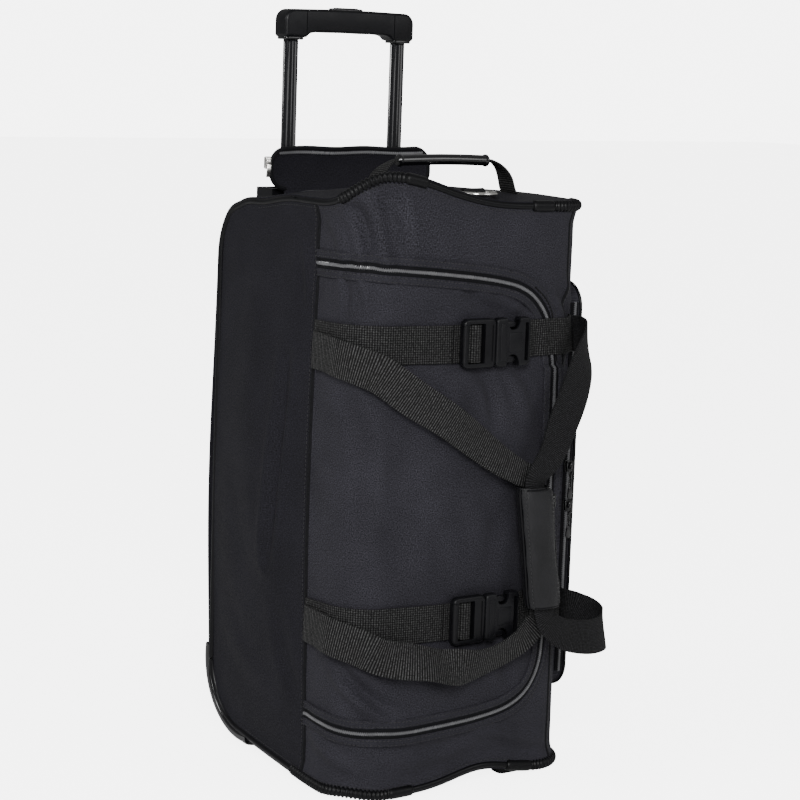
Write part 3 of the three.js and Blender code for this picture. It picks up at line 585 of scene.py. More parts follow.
def circle(radius: float, sides: int, squash: float = 1.0) -> Array:
    """Points of a circle or an ellipse round the origin."""
    angle = np.linspace(0, 2 * math.pi, sides, endpoint=False)
    return np.stack([radius * np.cos(angle), radius * squash * np.sin(angle)], axis=1)


def frames(path: Array, hint: Array, closed: bool = False) -> tuple[Array, Array]:
    """Two directions square to a path, the first as near as can be to a hint.

    Args:
        path: the points.
        hint: one direction or one for each point.
        closed: whether the path closes on itself.

    Returns:
        The directions across and out at each point.
    """
    along = tangents(path, closed)
    hint = np.broadcast_to(np.asarray(hint, float), path.shape)
    across = unit(hint - along * np.einsum("ij,ij->i", hint, along)[:, None])
    return across, np.cross(along, across)


def tube(path: Array, radius: float | Array, sides: int = 12, closed: bool = False,
         hint: Sequence[float] = (0.0, 0.0, 1.0)) -> Stock:
    """A round tube along a path.

    Args:
        path: the points of its middle.
        radius: one radius, or one for each point.
        sides: how many sides it has.
        closed: whether it closes on itself.
        hint: a direction that isn't along the path.

    Returns:
        The tube's shape.
    """
    across, out = frames(path, hint, closed)
    radii = np.broadcast_to(np.asarray(radius, float), (len(path),))
    section = circle(1.0, sides)[None] * radii[:, None, None]
    return sweep(path, across, out, section, closed)


def rounded_rect(width: float, height: float, radius: float, steps: int = 5) -> Array:
    """Points of a rectangle with round corners, round the origin."""
    radius = min(radius, width / 2 - 0.01, height / 2 - 0.01)
    points = []
    for k, (sx, sy) in enumerate([(1, 1), (-1, 1), (-1, -1), (1, -1)]):
        angle = np.linspace(0, math.pi / 2, steps + 1) + k * math.pi / 2
        centre = np.array([sx * (width / 2 - radius), sy * (height / 2 - radius)])
        points.append(centre + radius * np.stack([np.cos(angle), np.sin(angle)], axis=1))
    return np.concatenate(points)


def from_bmesh(mesh: bmesh.types.BMesh) -> Stock:
    """A bmesh as a stock. The bmesh is freed."""
    mesh.verts.index_update()
    points = np.array([v.co for v in mesh.verts])
    faces = [[v.index for v in f.verts] for f in mesh.faces]
    mesh.free()
    return Stock().add(points, faces)


def prism(outline: Array, low: float, high: float, bevel: float, axis: str = "y", segments: int = 3) -> Stock:
    """An outline with depth and rounded edges.

    Args:
        outline: its points: (x, z) for axis y, (y, z) for axis x, (x, y) for axis z.
        low: where it starts along the axis.
        high: where it ends.
        bevel: how far its edges are rounded.
        axis: the axis it is carried along.
        segments: steps round each edge.

    Returns:
        The shape.
    """
    order = {"x": [2, 0, 1], "y": [0, 2, 1], "z": [0, 1, 2]}[axis]
    mesh = bmesh.new()
    rings = []
    for level in (low, high):
        flat = np.column_stack([outline, np.full(len(outline), level)])
        rings.append([mesh.verts.new(p) for p in flat[:, order]])
    count = len(outline)
    mesh.faces.new(rings[0])
    mesh.faces.new(rings[1][::-1])
    for k in range(count):
        n = (k + 1) % count
        mesh.faces.new((rings[0][n], rings[0][k], rings[1][k], rings[1][n]))
    bmesh.ops.recalc_face_normals(mesh, faces=mesh.faces[:])
    if bevel > 0:
        edges = [e for e in mesh.edges if len(e.link_faces) == 2 and e.calc_face_angle(0) > 0.6]
        bmesh.ops.bevel(mesh, geom=edges, offset=bevel, segments=segments, profile=0.5,
                        affect="EDGES", clamp_overlap=True)
    return from_bmesh(mesh)


def block(x: Sequence[float], y: Sequence[float], z: Sequence[float], bevel: float, segments: int = 3) -> Stock:
    """A box with rounded edges between pairs of coordinates."""
    outline = np.array([(x[0], z[0]), (x[1], z[0]), (x[1], z[1]), (x[0], z[1])])
    return prism(outline, y[0], y[1], bevel, "y", segments)


def lathe(profile: Sequence[Sequence[float]], centre: Sequence[float], sides: int = 48) -> Stock:
    """A closed profile turned round an axis along X.

    Args:
        profile: (along X, radius) points, a loop that stays off the axis.
        centre: a point of the axis.
        sides: steps in a full turn.

    Returns:
        The shape.
    """
    profile = np.asarray(profile, float)
    angle = np.linspace(0, 2 * math.pi, sides, endpoint=False)
    ring = np.stack([np.zeros(sides), np.cos(angle), np.sin(angle)], axis=1)
    points = ring[:, None] * profile[None, :, 1:]
    points[..., 0] += profile[None, :, 0]
    points = points.reshape(-1, 3)
    quads = grid_faces(sides + 1, len(profile), wrap=True) % (sides * len(profile))
    faces = quads if faces_out(points, quads) else quads[:, ::-1]
    return Stock().add(points + np.asarray(centre), faces.tolist())


def stitches(path: Array, normals: Array, pitch: float = 4.2, length: float = 3.0, radius: float = 0.42) -> Stock:
    """A row of sewn stitches along a path on cloth.

    Args:
        path: points of the row.
        normals: the cloth's normals at those points.
        pitch: distance from a stitch to the next.
        length: how long a stitch is.
        radius: the thread's radius.

    Returns:
        All the stitches' shapes.
    """
    both = resample(np.concatenate([path, normals], axis=1), pitch)
    middle, up = both[:, :3], unit(both[:, 3:])
    along = tangents(middle)
    across = np.cross(along, up)
    stock = Stock()
    stops = np.array([-0.5, -0.34, 0.0, 0.34, 0.5])
    sizes = np.array([0.25, 0.85, 1.0, 0.85, 0.25])
    rises = np.array([-0.5, 0.5, 0.9, 0.5, -0.5])
    ring = circle(1.0, 6)
    template = grid_faces(5, 6, wrap=True).tolist() + [list(range(5, -1, -1)), [24 + k for k in range(6)]]
    for p, a, c, u in zip(middle, along, across, up):
        rows = [p + a * stop * length + u * rise * radius + radius * size * (ring[:, :1] * c + ring[:, 1:] * u)
                for stop, size, rise in zip(stops, sizes, rises)]
        stock.add(np.concatenate(rows), template)
    return stock


# ---- Making pieces ----
class Workbench:
    """Makes the bag's pieces: meshes in the frame's metres that are dressed and ride on a body."""

    def __init__(self) -> None:
        """Finds the body's middle in the frame."""
        near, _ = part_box("near_side_panel")
        _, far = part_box("far_side_panel")
        front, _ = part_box("front_frame")
        self.origin = np.array([(near.x + far.x) / 2, front.y - BagForm.front * MM, 0.0])
        self.count = 0

    def metres(self, points: Array) -> Array:
        """Points in the frame's metres."""
        return np.asarray(points, float) * MM + self.origin

    def mesh(self, name: str, stock: Stock, merge: float = 0.0) -> bpy.types.Object:
        """Makes a mesh object from a stock.

        Args:
            name: the object's name.
            stock: the shape.
            merge: distance in millimetres under which points are joined.

        Returns:
            The object, linked to the scene.
        """
        name = f"{name}_visual" if name in bpy.data.objects else name  # the frame's node keeps the plain name
        data = bpy.data.meshes.new(name)
        data.from_pydata(self.metres(np.concatenate(stock.points)).tolist(), [], stock.faces)
        layer = data.uv_layers.new(name="cloth")
        index = np.empty(len(data.loops), np.int64)
        data.loops.foreach_get("vertex_index", index)
        places = (np.concatenate(stock.cloth) * MM)[index]
        layer.data.foreach_set("uv", places.astype(np.float32).ravel())
        if merge > 0:
            edit = bmesh.new()
            edit.from_mesh(data)
            bmesh.ops.remove_doubles(edit, verts=edit.verts[:], dist=merge * MM)
            bmesh.ops.dissolve_degenerate(edit, edges=edit.edges[:], dist=merge * MM * 0.5)
            edit.to_mesh(data)
            edit.free()
        made = bpy.data.objects.new(name, data)
        bpy.context.scene.collection.objects.link(made)
        return made

    def dress(self, piece: bpy.types.Object, finish: Finish, sharp: float = 40.0) -> bpy.types.Object:
        """Gives a mesh its finish and its shading.

        Args:
            piece: the object.
            finish: the finish.
            sharp: edges bent by more than this many degrees stay sharp.

        Returns:
            The object.
        """
        piece.data.materials.clear()
        piece.data.materials.append(finish.material())
        piece.data.polygons.foreach_set("use_smooth", [True] * len(piece.data.polygons))
        piece.data.set_sharp_from_angle(angle=math.radians(sharp))
        return piece

    def place(self, name: str, stock: Stock, finish: Finish, body: str, *stands_for: str,
              merge: float = 0.0, sharp: float = 40.0) -> bpy.types.Object:
        """Makes one piece, dresses it and lets it ride on its body.

        Args:
            name: the piece's name.
            stock: its shape.
            finish: its finish.
            body: the body it rides on.
            stands_for: the frame's nodes that it replaces.
            merge: distance in millimetres under which points are joined.
            sharp: edges bent by more than this many degrees stay sharp.

        Returns:
            The piece.
        """
        return self.fit(self.mesh(name, stock, merge), finish, body, stands_for, sharp)

    def fit(self, piece: bpy.types.Object, finish: Finish, body: str, stands_for: Sequence[str],
            sharp: float) -> bpy.types.Object:
        """Dresses a finished mesh and lets it ride on its body.

        Args:
            piece: the object.
            finish: its finish.
            body: the body it rides on.
            stands_for: the frame's nodes that it replaces.
            sharp: edges bent by more than this many degrees stay sharp.

        Returns:
            The piece.
        """
        self.dress(piece, finish, sharp)
        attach(piece, body)
        if stands_for:
            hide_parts(*stands_for)
        self.count += 1
        LOG.info("%s: %d points on %s", piece.name, len(piece.data.vertices), body)
        return piece

    def keep(self, node: str, finish: Finish, bevel: float = 0.4) -> None:
        """Shows one of the frame's own nodes with a better finish and softened edges.

        Args:
            node: the node's name.
            finish: its finish.
            bevel: how far its edges are rounded, in millimetres.
        """
        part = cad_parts[node]
        part.data.materials.clear()
        part.data.materials.append(finish.material())
        if bevel > 0:
            soften = part.modifiers.new("soften", "BEVEL")
            soften.width = bevel * MM
            soften.segments = 2
            soften.limit_method = "ANGLE"
            soften.angle_limit = math.radians(35)
        LOG.info("%s: kept from the frame", node)

    def cut(self, piece: bpy.types.Object, *cutters: Stock) -> bpy.types.Object:
        """Cuts shapes out of a piece before it is dressed.

        Args:
            piece: the object to cut.
            cutters: the shapes taken away.

        Returns:
            The object with its new mesh.
        """
        tools = [self.mesh("cutter", stock) for stock in cutters]
        for tool in tools:
            step = piece.modifiers.new("cut", "BOOLEAN")
            step.operation = "DIFFERENCE"
            step.solver = "EXACT"
            step.object = tool
        bpy.context.view_layer.update()
        result = bpy.data.meshes.new_from_object(piece.evaluated_get(bpy.context.evaluated_depsgraph_get()))
        piece.modifiers.clear()
        piece.data = result
        for tool in tools:
            bpy.data.objects.remove(tool)
        return piece

    def place_cut(self, name: str, stock: Stock, cutters: Sequence[Stock], finish: Finish, body: str,
                  *stands_for: str, sharp: float = 35.0) -> bpy.types.Object:
        """Makes one piece with shapes cut out of it.

        Args:
            name: the piece's name.
            stock: its shape.
            cutters: the shapes taken away.
            finish: its finish.
            body: the body it rides on.
            stands_for: the frame's nodes that it replaces.
            sharp: edges bent by more than this many degrees stay sharp.

        Returns:
            The piece.
        """
        return self.fit(self.cut(self.mesh(name, stock), *cutters), finish, body, stands_for, sharp)


# ---- The soft body ----
NEAR_SEAM, FAR_SEAM = 190.0, 522.0  # round the bag, where the front's fabric is sewn to the sides
UPPER_STRAP, LOWER_STRAP = 470.0, 184.0  # heights of the compression straps
SLIDER_LINE = 498.0  # round the bag, the straight run of the lid's zip
DRAPE_FRAMES = 20
DRAPE_SCALE = 4  # the cloth is simulated this much larger than life


@dataclass(frozen=True)
class Crease:
    """A fold of the cloth along a line, sunk when its depth is negative."""

    line: tuple[tuple[float, float], ...]
    depth: float
    width: float

    def height(self, s: Array, z: Array) -> Array:
        """How far the fold moves the cloth.

        Args:
            s: distances round the bag.
            z: heights.

        Returns:
            The outward moves, in millimetres.
        """
        knots = spline(np.array(self.line), 5)
        best = np.full(s.shape, 1e9)
        at = np.zeros(s.shape)
        share = lengths(knots) / lengths(knots)[-1]
        for a, b, f, g in zip(knots[:-1], knots[1:], share[:-1], share[1:]):
            run = b - a
            t = np.clip(((s - a[0]) * run[0] + (z - a[1]) * run[1]) / max(run @ run, 1e-6), 0, 1)
            away = np.hypot(s - a[0] - t * run[0], z - a[1] - t * run[1])
            closer = away < best
            best = np.where(closer, away, best)
            at = np.where(closer, f + t * (g - f), at)
        fade = np.sin(math.pi * np.clip(at * 0.86 + 0.07, 0, 1)) ** 0.6
        near = best / self.width
        profile = np.exp(-near**2) - 0.45 * np.exp(-((near - 1.9) / 0.9) ** 2)
        return 1.45 * self.depth * profile * fade


@dataclass
class BagForm:
    """The soft body's outer surface: where every point of its fabric lies."""

    half: float = 145.0
    front: float = -133.0
    back: float = 140.0
    top: float = 606.0
    radius: float = 45.0
    arc: float = 70.0
    low_arc: tuple[float, float] = (70.0, 95.0)
    high_arc: tuple[float, float] = (70.0, 536.0)
    slope_end: float = 78.2
    sole: float = 6.0
    creases: tuple[Crease, ...] = ()
    field_step: float = 2.5
    field_map: Array | None = None

    @property
    def marks(self) -> tuple[float, float, float, float, float]:
        """Distances round the bag at which its sides and corners end."""
        side, bend = self.back - self.front - self.radius, self.radius * math.pi / 2
        face = 2 * (self.half - self.radius)
        return side, side + bend, side + bend + face, side + 2 * bend + face, 2 * side + 2 * bend + face

    def plan(self, s: Array) -> tuple[Array, Array, Array, Array]:
        """The place and direction on the bag's plan.

        Args:
            s: distances from the near back edge, round the front to the far back edge.

        Returns:
            X, Y and the outward normal's X and Y.
        """
        s = np.asarray(s, float)
        a, b, c, d, _ = self.marks
        inner, turn_y = self.half - self.radius, self.front + self.radius
        near = math.pi + np.clip(s - a, 0, b - a) / self.radius
        far = 1.5 * math.pi + np.clip(s - c, 0, d - c) / self.radius
        flat = np.zeros_like(s)
        cases = [s < a, s < b, s < c, s < d]
        x = np.select(cases, [flat - self.half, -inner + self.radius * np.cos(near), s - b - inner,
                              inner + self.radius * np.cos(far)], flat + self.half)
        y = np.select(cases, [self.back - s, turn_y + self.radius * np.sin(near), flat + self.front,
                              turn_y + self.radius * np.sin(far)], s - d + turn_y)
        nx = np.select(cases, [flat - 1, np.cos(near), flat, np.cos(far)], flat + 1)
        ny = np.select(cases, [flat, np.sin(near), flat - 1, np.sin(far)], flat)
        return x, y, nx, ny

    def ends(self, y: Array) -> tuple[Array, Array]:
        """The bottom's and the top's heights at a depth."""
        y = np.asarray(y, float)
        turn_y = self.front + self.radius
        cy, cz = self.low_arc
        rise = np.sqrt(np.maximum(self.arc**2 - (np.maximum(y, self.slope_end) - cy) ** 2, 0))
        low_end = cz - math.sqrt(self.arc**2 - (self.slope_end - cy) ** 2)
        share = np.clip((y - turn_y) / (self.slope_end - turn_y), 0, 1)
        low = np.where(y > self.slope_end, cz - rise, self.sole + (low_end - self.sole) * share)
        lift = np.sqrt(np.maximum(self.arc**2 - np.maximum(y - self.high_arc[0], 0) ** 2, 0))
        return low, self.high_arc[1] + lift

    def reach(self, y: Array) -> Array:
        """Half the bag's width at a depth."""
        ahead = np.clip(self.front + self.radius - np.asarray(y, float), 0, self.radius)
        return self.half - self.radius + np.sqrt(self.radius**2 - ahead**2)

    def warp(self, points: Array) -> Array:
        """Sags and bulges the whole bag as stuffing and its own weight do.

        Args:
            points: points of the upright shape.

        Returns:
            Where they end up.
        """
        p = np.array(points, float)
        x, y, z = p[..., 0].copy(), p[..., 1].copy(), p[..., 2].copy()

        def bell(value: Array, middle: float, low: float, high: float | None = None) -> Array:
            """A bump round a middle, with a width on each side."""
            width = np.where(value < middle, low, low if high is None else high)
            return np.exp(-((value - middle) / width) ** 2)

        def rise(value: Array, low: float, high: float) -> Array:
            """A smooth step from 0 to 1."""
            t = np.clip((value - low) / (high - low), 0, 1)
            return t * t * (3 - 2 * t)

        sideways = np.clip(x / self.half, -1.1, 1.1)
        p[..., 0] -= 13 * np.where(x < 0, sideways**2, 0) * bell(y, 35, 85) * bell(z, 290, 190)
        p[..., 0] += 3 * np.where(x > 0, sideways**2, 0) * bell(y, 20, 70) * bell(z, 560, 60)
        p[..., 1] += 7 * np.clip(y / self.back, 0, 1.05) ** 3 * bell(z, 280, 170)
        high = rise(z, 470, 606)
        peak = rise(z, 545, 606)
        low = 1 - rise(z, 12, 70)
        p[..., 2] += 12 * peak * bell(x, 0, 115) * bell(y, -20, 90) * (1 - rise(y, 20, 75))
        p[..., 2] += 31 * peak * bell(x, -112, 45, 82) * bell(y, -128, 36)
        p[..., 2] -= 9 * peak * bell(x, 28, 34) * bell(y, -88, 28)
        p[..., 2] -= 6 * high * rise(-x, 60, 140) * rise(y, -10, 60) * (1 - rise(y, 95, 125))
        p[..., 2] += 12 * low * bell(x, 25, 48) * bell(y, -133, 60)
        p[..., 2] += 5 * low * bell(x, -140, 30) * bell(y, -120, 40)
        p[..., 0] -= 5 * rise(x, 100, 145) * bell(z, 335, 90) * bell(y, -110, 45)
        p[..., 1] += 4 * rise(x, 104, 140) * bell(z, 335, 90) * bell(y, -133, 45)
        p[..., 1] -= 5 * bell(x, -5, 80) * bell(z, 320, 150) * rise(-y, 60, 125)
        p[..., 1] -= 5 * bell(x, -60, 70) * bell(z, 555, 45) * rise(-y, 60, 125)
        return p

    def lift_at(self, s: Array, z: Array) -> Array:
        """How far the cloth stands out at a place, from the draped field."""
        if self.field_map is None:
            return np.zeros(np.broadcast(s, z).shape)
        rows, columns = self.field_map.shape
        u = np.clip(np.asarray(s, float) / self.field_step, 0, columns - 1.001)
        v = np.clip(np.asarray(z, float) / self.field_step, 0, rows - 1.001)
        i, j = v.astype(int), u.astype(int)
        f, g = v - i, u - j
        m = self.field_map
        return ((m[i, j] * (1 - g) + m[i, j + 1] * g) * (1 - f)
                + (m[i + 1, j] * (1 - g) + m[i + 1, j + 1] * g) * f)

    def skin(self, s: Array, z: Array) -> Array:
        """Points of the finished surface.

        Args:
            s: distances round the bag.
            z: heights before sagging.

        Returns:
            The points.
        """
        s, z = np.broadcast_arrays(np.asarray(s, float), np.asarray(z, float))
        x, y, nx, ny = self.plan(s)
        low, high = self.ends(y)
        edge = np.minimum(z - low, high - z)
        calm = np.clip(edge / 22, 0, 1)
        lift = self.lift_at(s, z) * calm * calm * (3 - 2 * calm)
        return self.warp(np.stack([x + nx * lift, y + ny * lift, z], axis=-1))

    def normals(self, s: Array, z: Array) -> Array:
        """Outward normals of the finished surface."""
        s, z = np.broadcast_arrays(np.asarray(s, float), np.asarray(z, float))
        across = self.skin(s + 1.5, z) - self.skin(s - 1.5, z)
        upward = self.skin(s, z + 1.5) - self.skin(s, z - 1.5)
        return unit(np.cross(across, upward))

    def on(self, s: Array, z: Array, lift: float | Array = 0.0) -> Array:
        """Points at a height above the finished surface."""
        lift = np.asarray(lift, float)
        lift = lift[..., None] if lift.ndim else lift
        return self.skin(s, z) + self.normals(s, z) * lift

    def s_front(self, x: float) -> float:
        """The distance round the bag of a place on its front face."""
        return self.marks[1] + x + self.half - self.radius

    def s_far(self, y: float) -> float:
        """The distance round the bag of a place on its far side."""
        return self.marks[3] + y - self.front - self.radius

    def edge(self, upper: bool, inset: float = 1.8) -> tuple[Array, Array]:
        """The line in which the side band meets the top, back and bottom strip.

        Args:
            upper: the upper half of the loop, or the lower.
            inset: how far inside both surfaces it lies.

        Returns:
            Distances round the bag, and the line's points.
        """
        total = self.marks[4]
        s = total / 2 * (1 - np.cos(np.linspace(0, math.pi, 1400)))
        x, y, nx, ny = self.plan(s)
        low, high = self.ends(y)
        z = high if upper else low
        cy, cz = self.high_arc if upper else self.low_arc
        behind = (y > cy)
        oy = np.where(behind, (y - cy) / self.arc, 0)
        oz = np.where(behind, (z - cz) / self.arc, 1.0 if upper else -1.0)
        path = np.stack([x - nx * inset, y - ny * inset - oy * inset, z - oz * inset], axis=1)
        return s, self.warp(path)

    def settle(self) -> None:
        """Lets the side band drape as cloth under stuffing and adds its creases to the field."""
        columns = int(self.marks[4] / self.field_step) + 2
        rows = int(620 / self.field_step) + 2
        s, z = np.meshgrid(np.arange(columns) * self.field_step, np.arange(rows) * self.field_step)
        total = self.drape(s, z)
        for crease in self.creases:
            total += crease.height(s, z)
        slider_run = np.exp(-((s - SLIDER_LINE) / 15) ** 4) * (np.abs(z - 318) < 122)
        total *= 1 - slider_run
        for strap in (UPPER_STRAP, LOWER_STRAP):
            total *= 1 - 0.85 * np.exp(-((z - strap) / 27) ** 4) * np.exp(-((s - 396) / 62) ** 4)
        self.field_map = total

    def drape(self, s: Array, z: Array) -> Array:
        """Simulates the band under pressure.

        Args:
            s: the wanted distances round the bag.
            z: the wanted heights.

        Returns:
            How far the cloth stands out at each, in millimetres.
        """
        across, tall = 150, 112
        su = np.linspace(0, self.marks[4], across)
        v = np.linspace(0, 1, tall)[:, None]
        x, y, nx, ny = self.plan(su)
        low, high = self.ends(y)
        grid_z = low + (high - low) * v
        base = np.stack(np.broadcast_arrays(x[None], y[None], grid_z), axis=-1)
        data = bpy.data.meshes.new("drape")
        data.from_pydata((base.reshape(-1, 3) * MM * DRAPE_SCALE).tolist(), [], grid_faces(tall, across).tolist())
        cloth_piece = bpy.data.objects.new("drape", data)
        bpy.context.scene.collection.objects.link(cloth_piece)
        held = cloth_piece.vertex_groups.new(name="held")
        weight = np.full((tall, across), 0.02)
        weight[:, np.abs(su - NEAR_SEAM) < 4] = 0.6
        weight[:, np.abs(su - FAR_SEAM) < 4] = 0.5
        strap = (np.abs(grid_z - UPPER_STRAP) < 18) | (np.abs(grid_z - LOWER_STRAP) < 18)
        weight[strap & (su > 230)[None] & (su < 520)[None]] = 0.3
        weight[[0, -1], :] = 1.0
        weight[:, [0, -1]] = 1.0
        for index, value in enumerate(weight.ravel().tolist()):
            held.add([index], value, "REPLACE")
        step = cloth_piece.modifiers.new("cloth", "CLOTH")
        settings = dict(quality=6, mass=0.3, tension_stiffness=12, compression_stiffness=12,
                        bending_stiffness=0.6, use_pressure=True, uniform_pressure_force=4.0,
                        vertex_group_mass="held", pin_stiffness=1.0, shrink_min=-0.012)
        for key, value in settings.items():
            setattr(step.settings, key, value)
        step.settings.effector_weights.gravity = 0.0
        step.point_cache.frame_start = 1
        step.point_cache.frame_end = DRAPE_FRAMES
        scene = bpy.context.scene
        for number in range(1, DRAPE_FRAMES + 1):
            scene.frame_set(number)
            posed = cloth_piece.evaluated_get(bpy.context.evaluated_depsgraph_get())
        moved = np.empty(len(posed.data.vertices) * 3)
        posed.data.vertices.foreach_get("co", moved)
        scene.frame_set(1)
        bpy.data.objects.remove(cloth_piece)
        move = moved.reshape(tall, across, 3) / (MM * DRAPE_SCALE) - base
        out = move[..., 0] * nx + move[..., 1] * ny
        LOG.info("drape: out %.1f to %.1f mm", out.min(), out.max())
        out = 6 * np.tanh((out - np.median(out)) / 8)
        out *= np.where(su < NEAR_SEAM, 0.45, np.where(su > 530, 0.7, 1.0))[None]
        _, wanted_y, _, _ = self.plan(s)
        low, high = self.ends(wanted_y)
        u = np.clip(s / self.marks[4] * (across - 1), 0, across - 1.001)
        w = np.clip((z - low) / np.maximum(high - low, 1), 0, 1) * (tall - 1)
        w = np.clip(w, 0, tall - 1.001)
        i, j = w.astype(int), u.astype(int)
        f, g = w - i, u - j
        f, g = f * f * (3 - 2 * f), g * g * (3 - 2 * g)
        field_map = ((out[i, j] * (1 - g) + out[i, j + 1] * g) * (1 - f)
                     + (out[i + 1, j] * (1 - g) + out[i + 1, j + 1] * g) * f)
        for _ in range(2):
            padded = np.pad(field_map, 1, mode="edge")
            field_map = (padded[:-2, 1:-1] + padded[2:, 1:-1] + padded[1:-1, :-2] + padded[1:-1, 2:]
                         + 2 * field_map) / 6
        return field_map


CREASES = (
    Crease(((236, 600), (252, 585), (262, 566), (266, 548)), -4.5, 6),
    Crease(((248, 602), (270, 584), (282, 560), (286, 546)), 3.6, 6),
    Crease(((268, 600), (296, 585), (306, 568)), -3.0, 6),
    Crease(((205, 590), (222, 578), (232, 560)), 2.6, 7),
    Crease(((232, 540), (240, 520), (238, 500)), -2.4, 5),
    Crease(((250, 542), (262, 524), (266, 505)), 2.0, 5),
    Crease(((380, 520), (398, 508), (420, 500)), -2.4, 6),
    Crease(((425, 512), (448, 500), (468, 492)), 2.2, 6),
    Crease(((455, 500), (468, 480), (474, 452)), -2.2, 6),
    Crease(((505, 520), (525, 500), (540, 486)), -3.2, 7),
    Crease(((505, 480), (528, 470), (548, 452)), 2.6, 7),
    Crease(((395, 446), (412, 420), (418, 385)), -3.0, 7),
    Crease(((425, 444), (446, 424), (462, 396)), 2.4, 7),
    Crease(((380, 440), (368, 405), (372, 370)), 2.0, 9),
    Crease(((240, 420), (262, 385), (270, 330), (264, 270)), -2.6, 10),
    Crease(((300, 300), (330, 270), (344, 232)), 2.2, 12),
    Crease(((410, 320), (424, 280), (420, 232)), -2.0, 12),
    Crease(((232, 156), (262, 128), (298, 104), (330, 92)), -3.4, 7),
    Crease(((240, 130), (268, 108), (296, 90)), 2.6, 6),
    Crease(((296, 160), (330, 128), (362, 108)), 2.2, 8),
    Crease(((420, 156), (440, 136), (452, 112)), -2.4, 7),
    Crease(((200, 60), (232, 46), (270, 30)), 2.4, 7),
    Crease(((300, 58), (350, 50), (402, 52)), -2.4, 7),
    Crease(((420, 60), (470, 42), (508, 36)), 2.0, 8),
    Crease(((151, 447), (146, 380), (140, 310), (132, 229)), -4.2, 7),
    Crease(((92, 520), (82, 440), (80, 360)), 1.2, 22),
    Crease(((60, 300), (78, 240), (104, 190)), -1.2, 20),
    Crease(((150, 180), (160, 130), (178, 100)), -1.6, 9),
    Crease(((60, 540), (96, 552), (132, 548)), -1.4, 12),
    Crease(((40, 150), (70, 120), (112, 104)), 1.2, 14),
    Crease(((170, 560), (178, 530), (180, 500)), 2.2, 6),
    Crease(((600, 500), (640, 440), (650, 360)), -2.2, 14),
    Crease(((620, 200), (670, 160), (720, 150)), 2.2, 12),
)


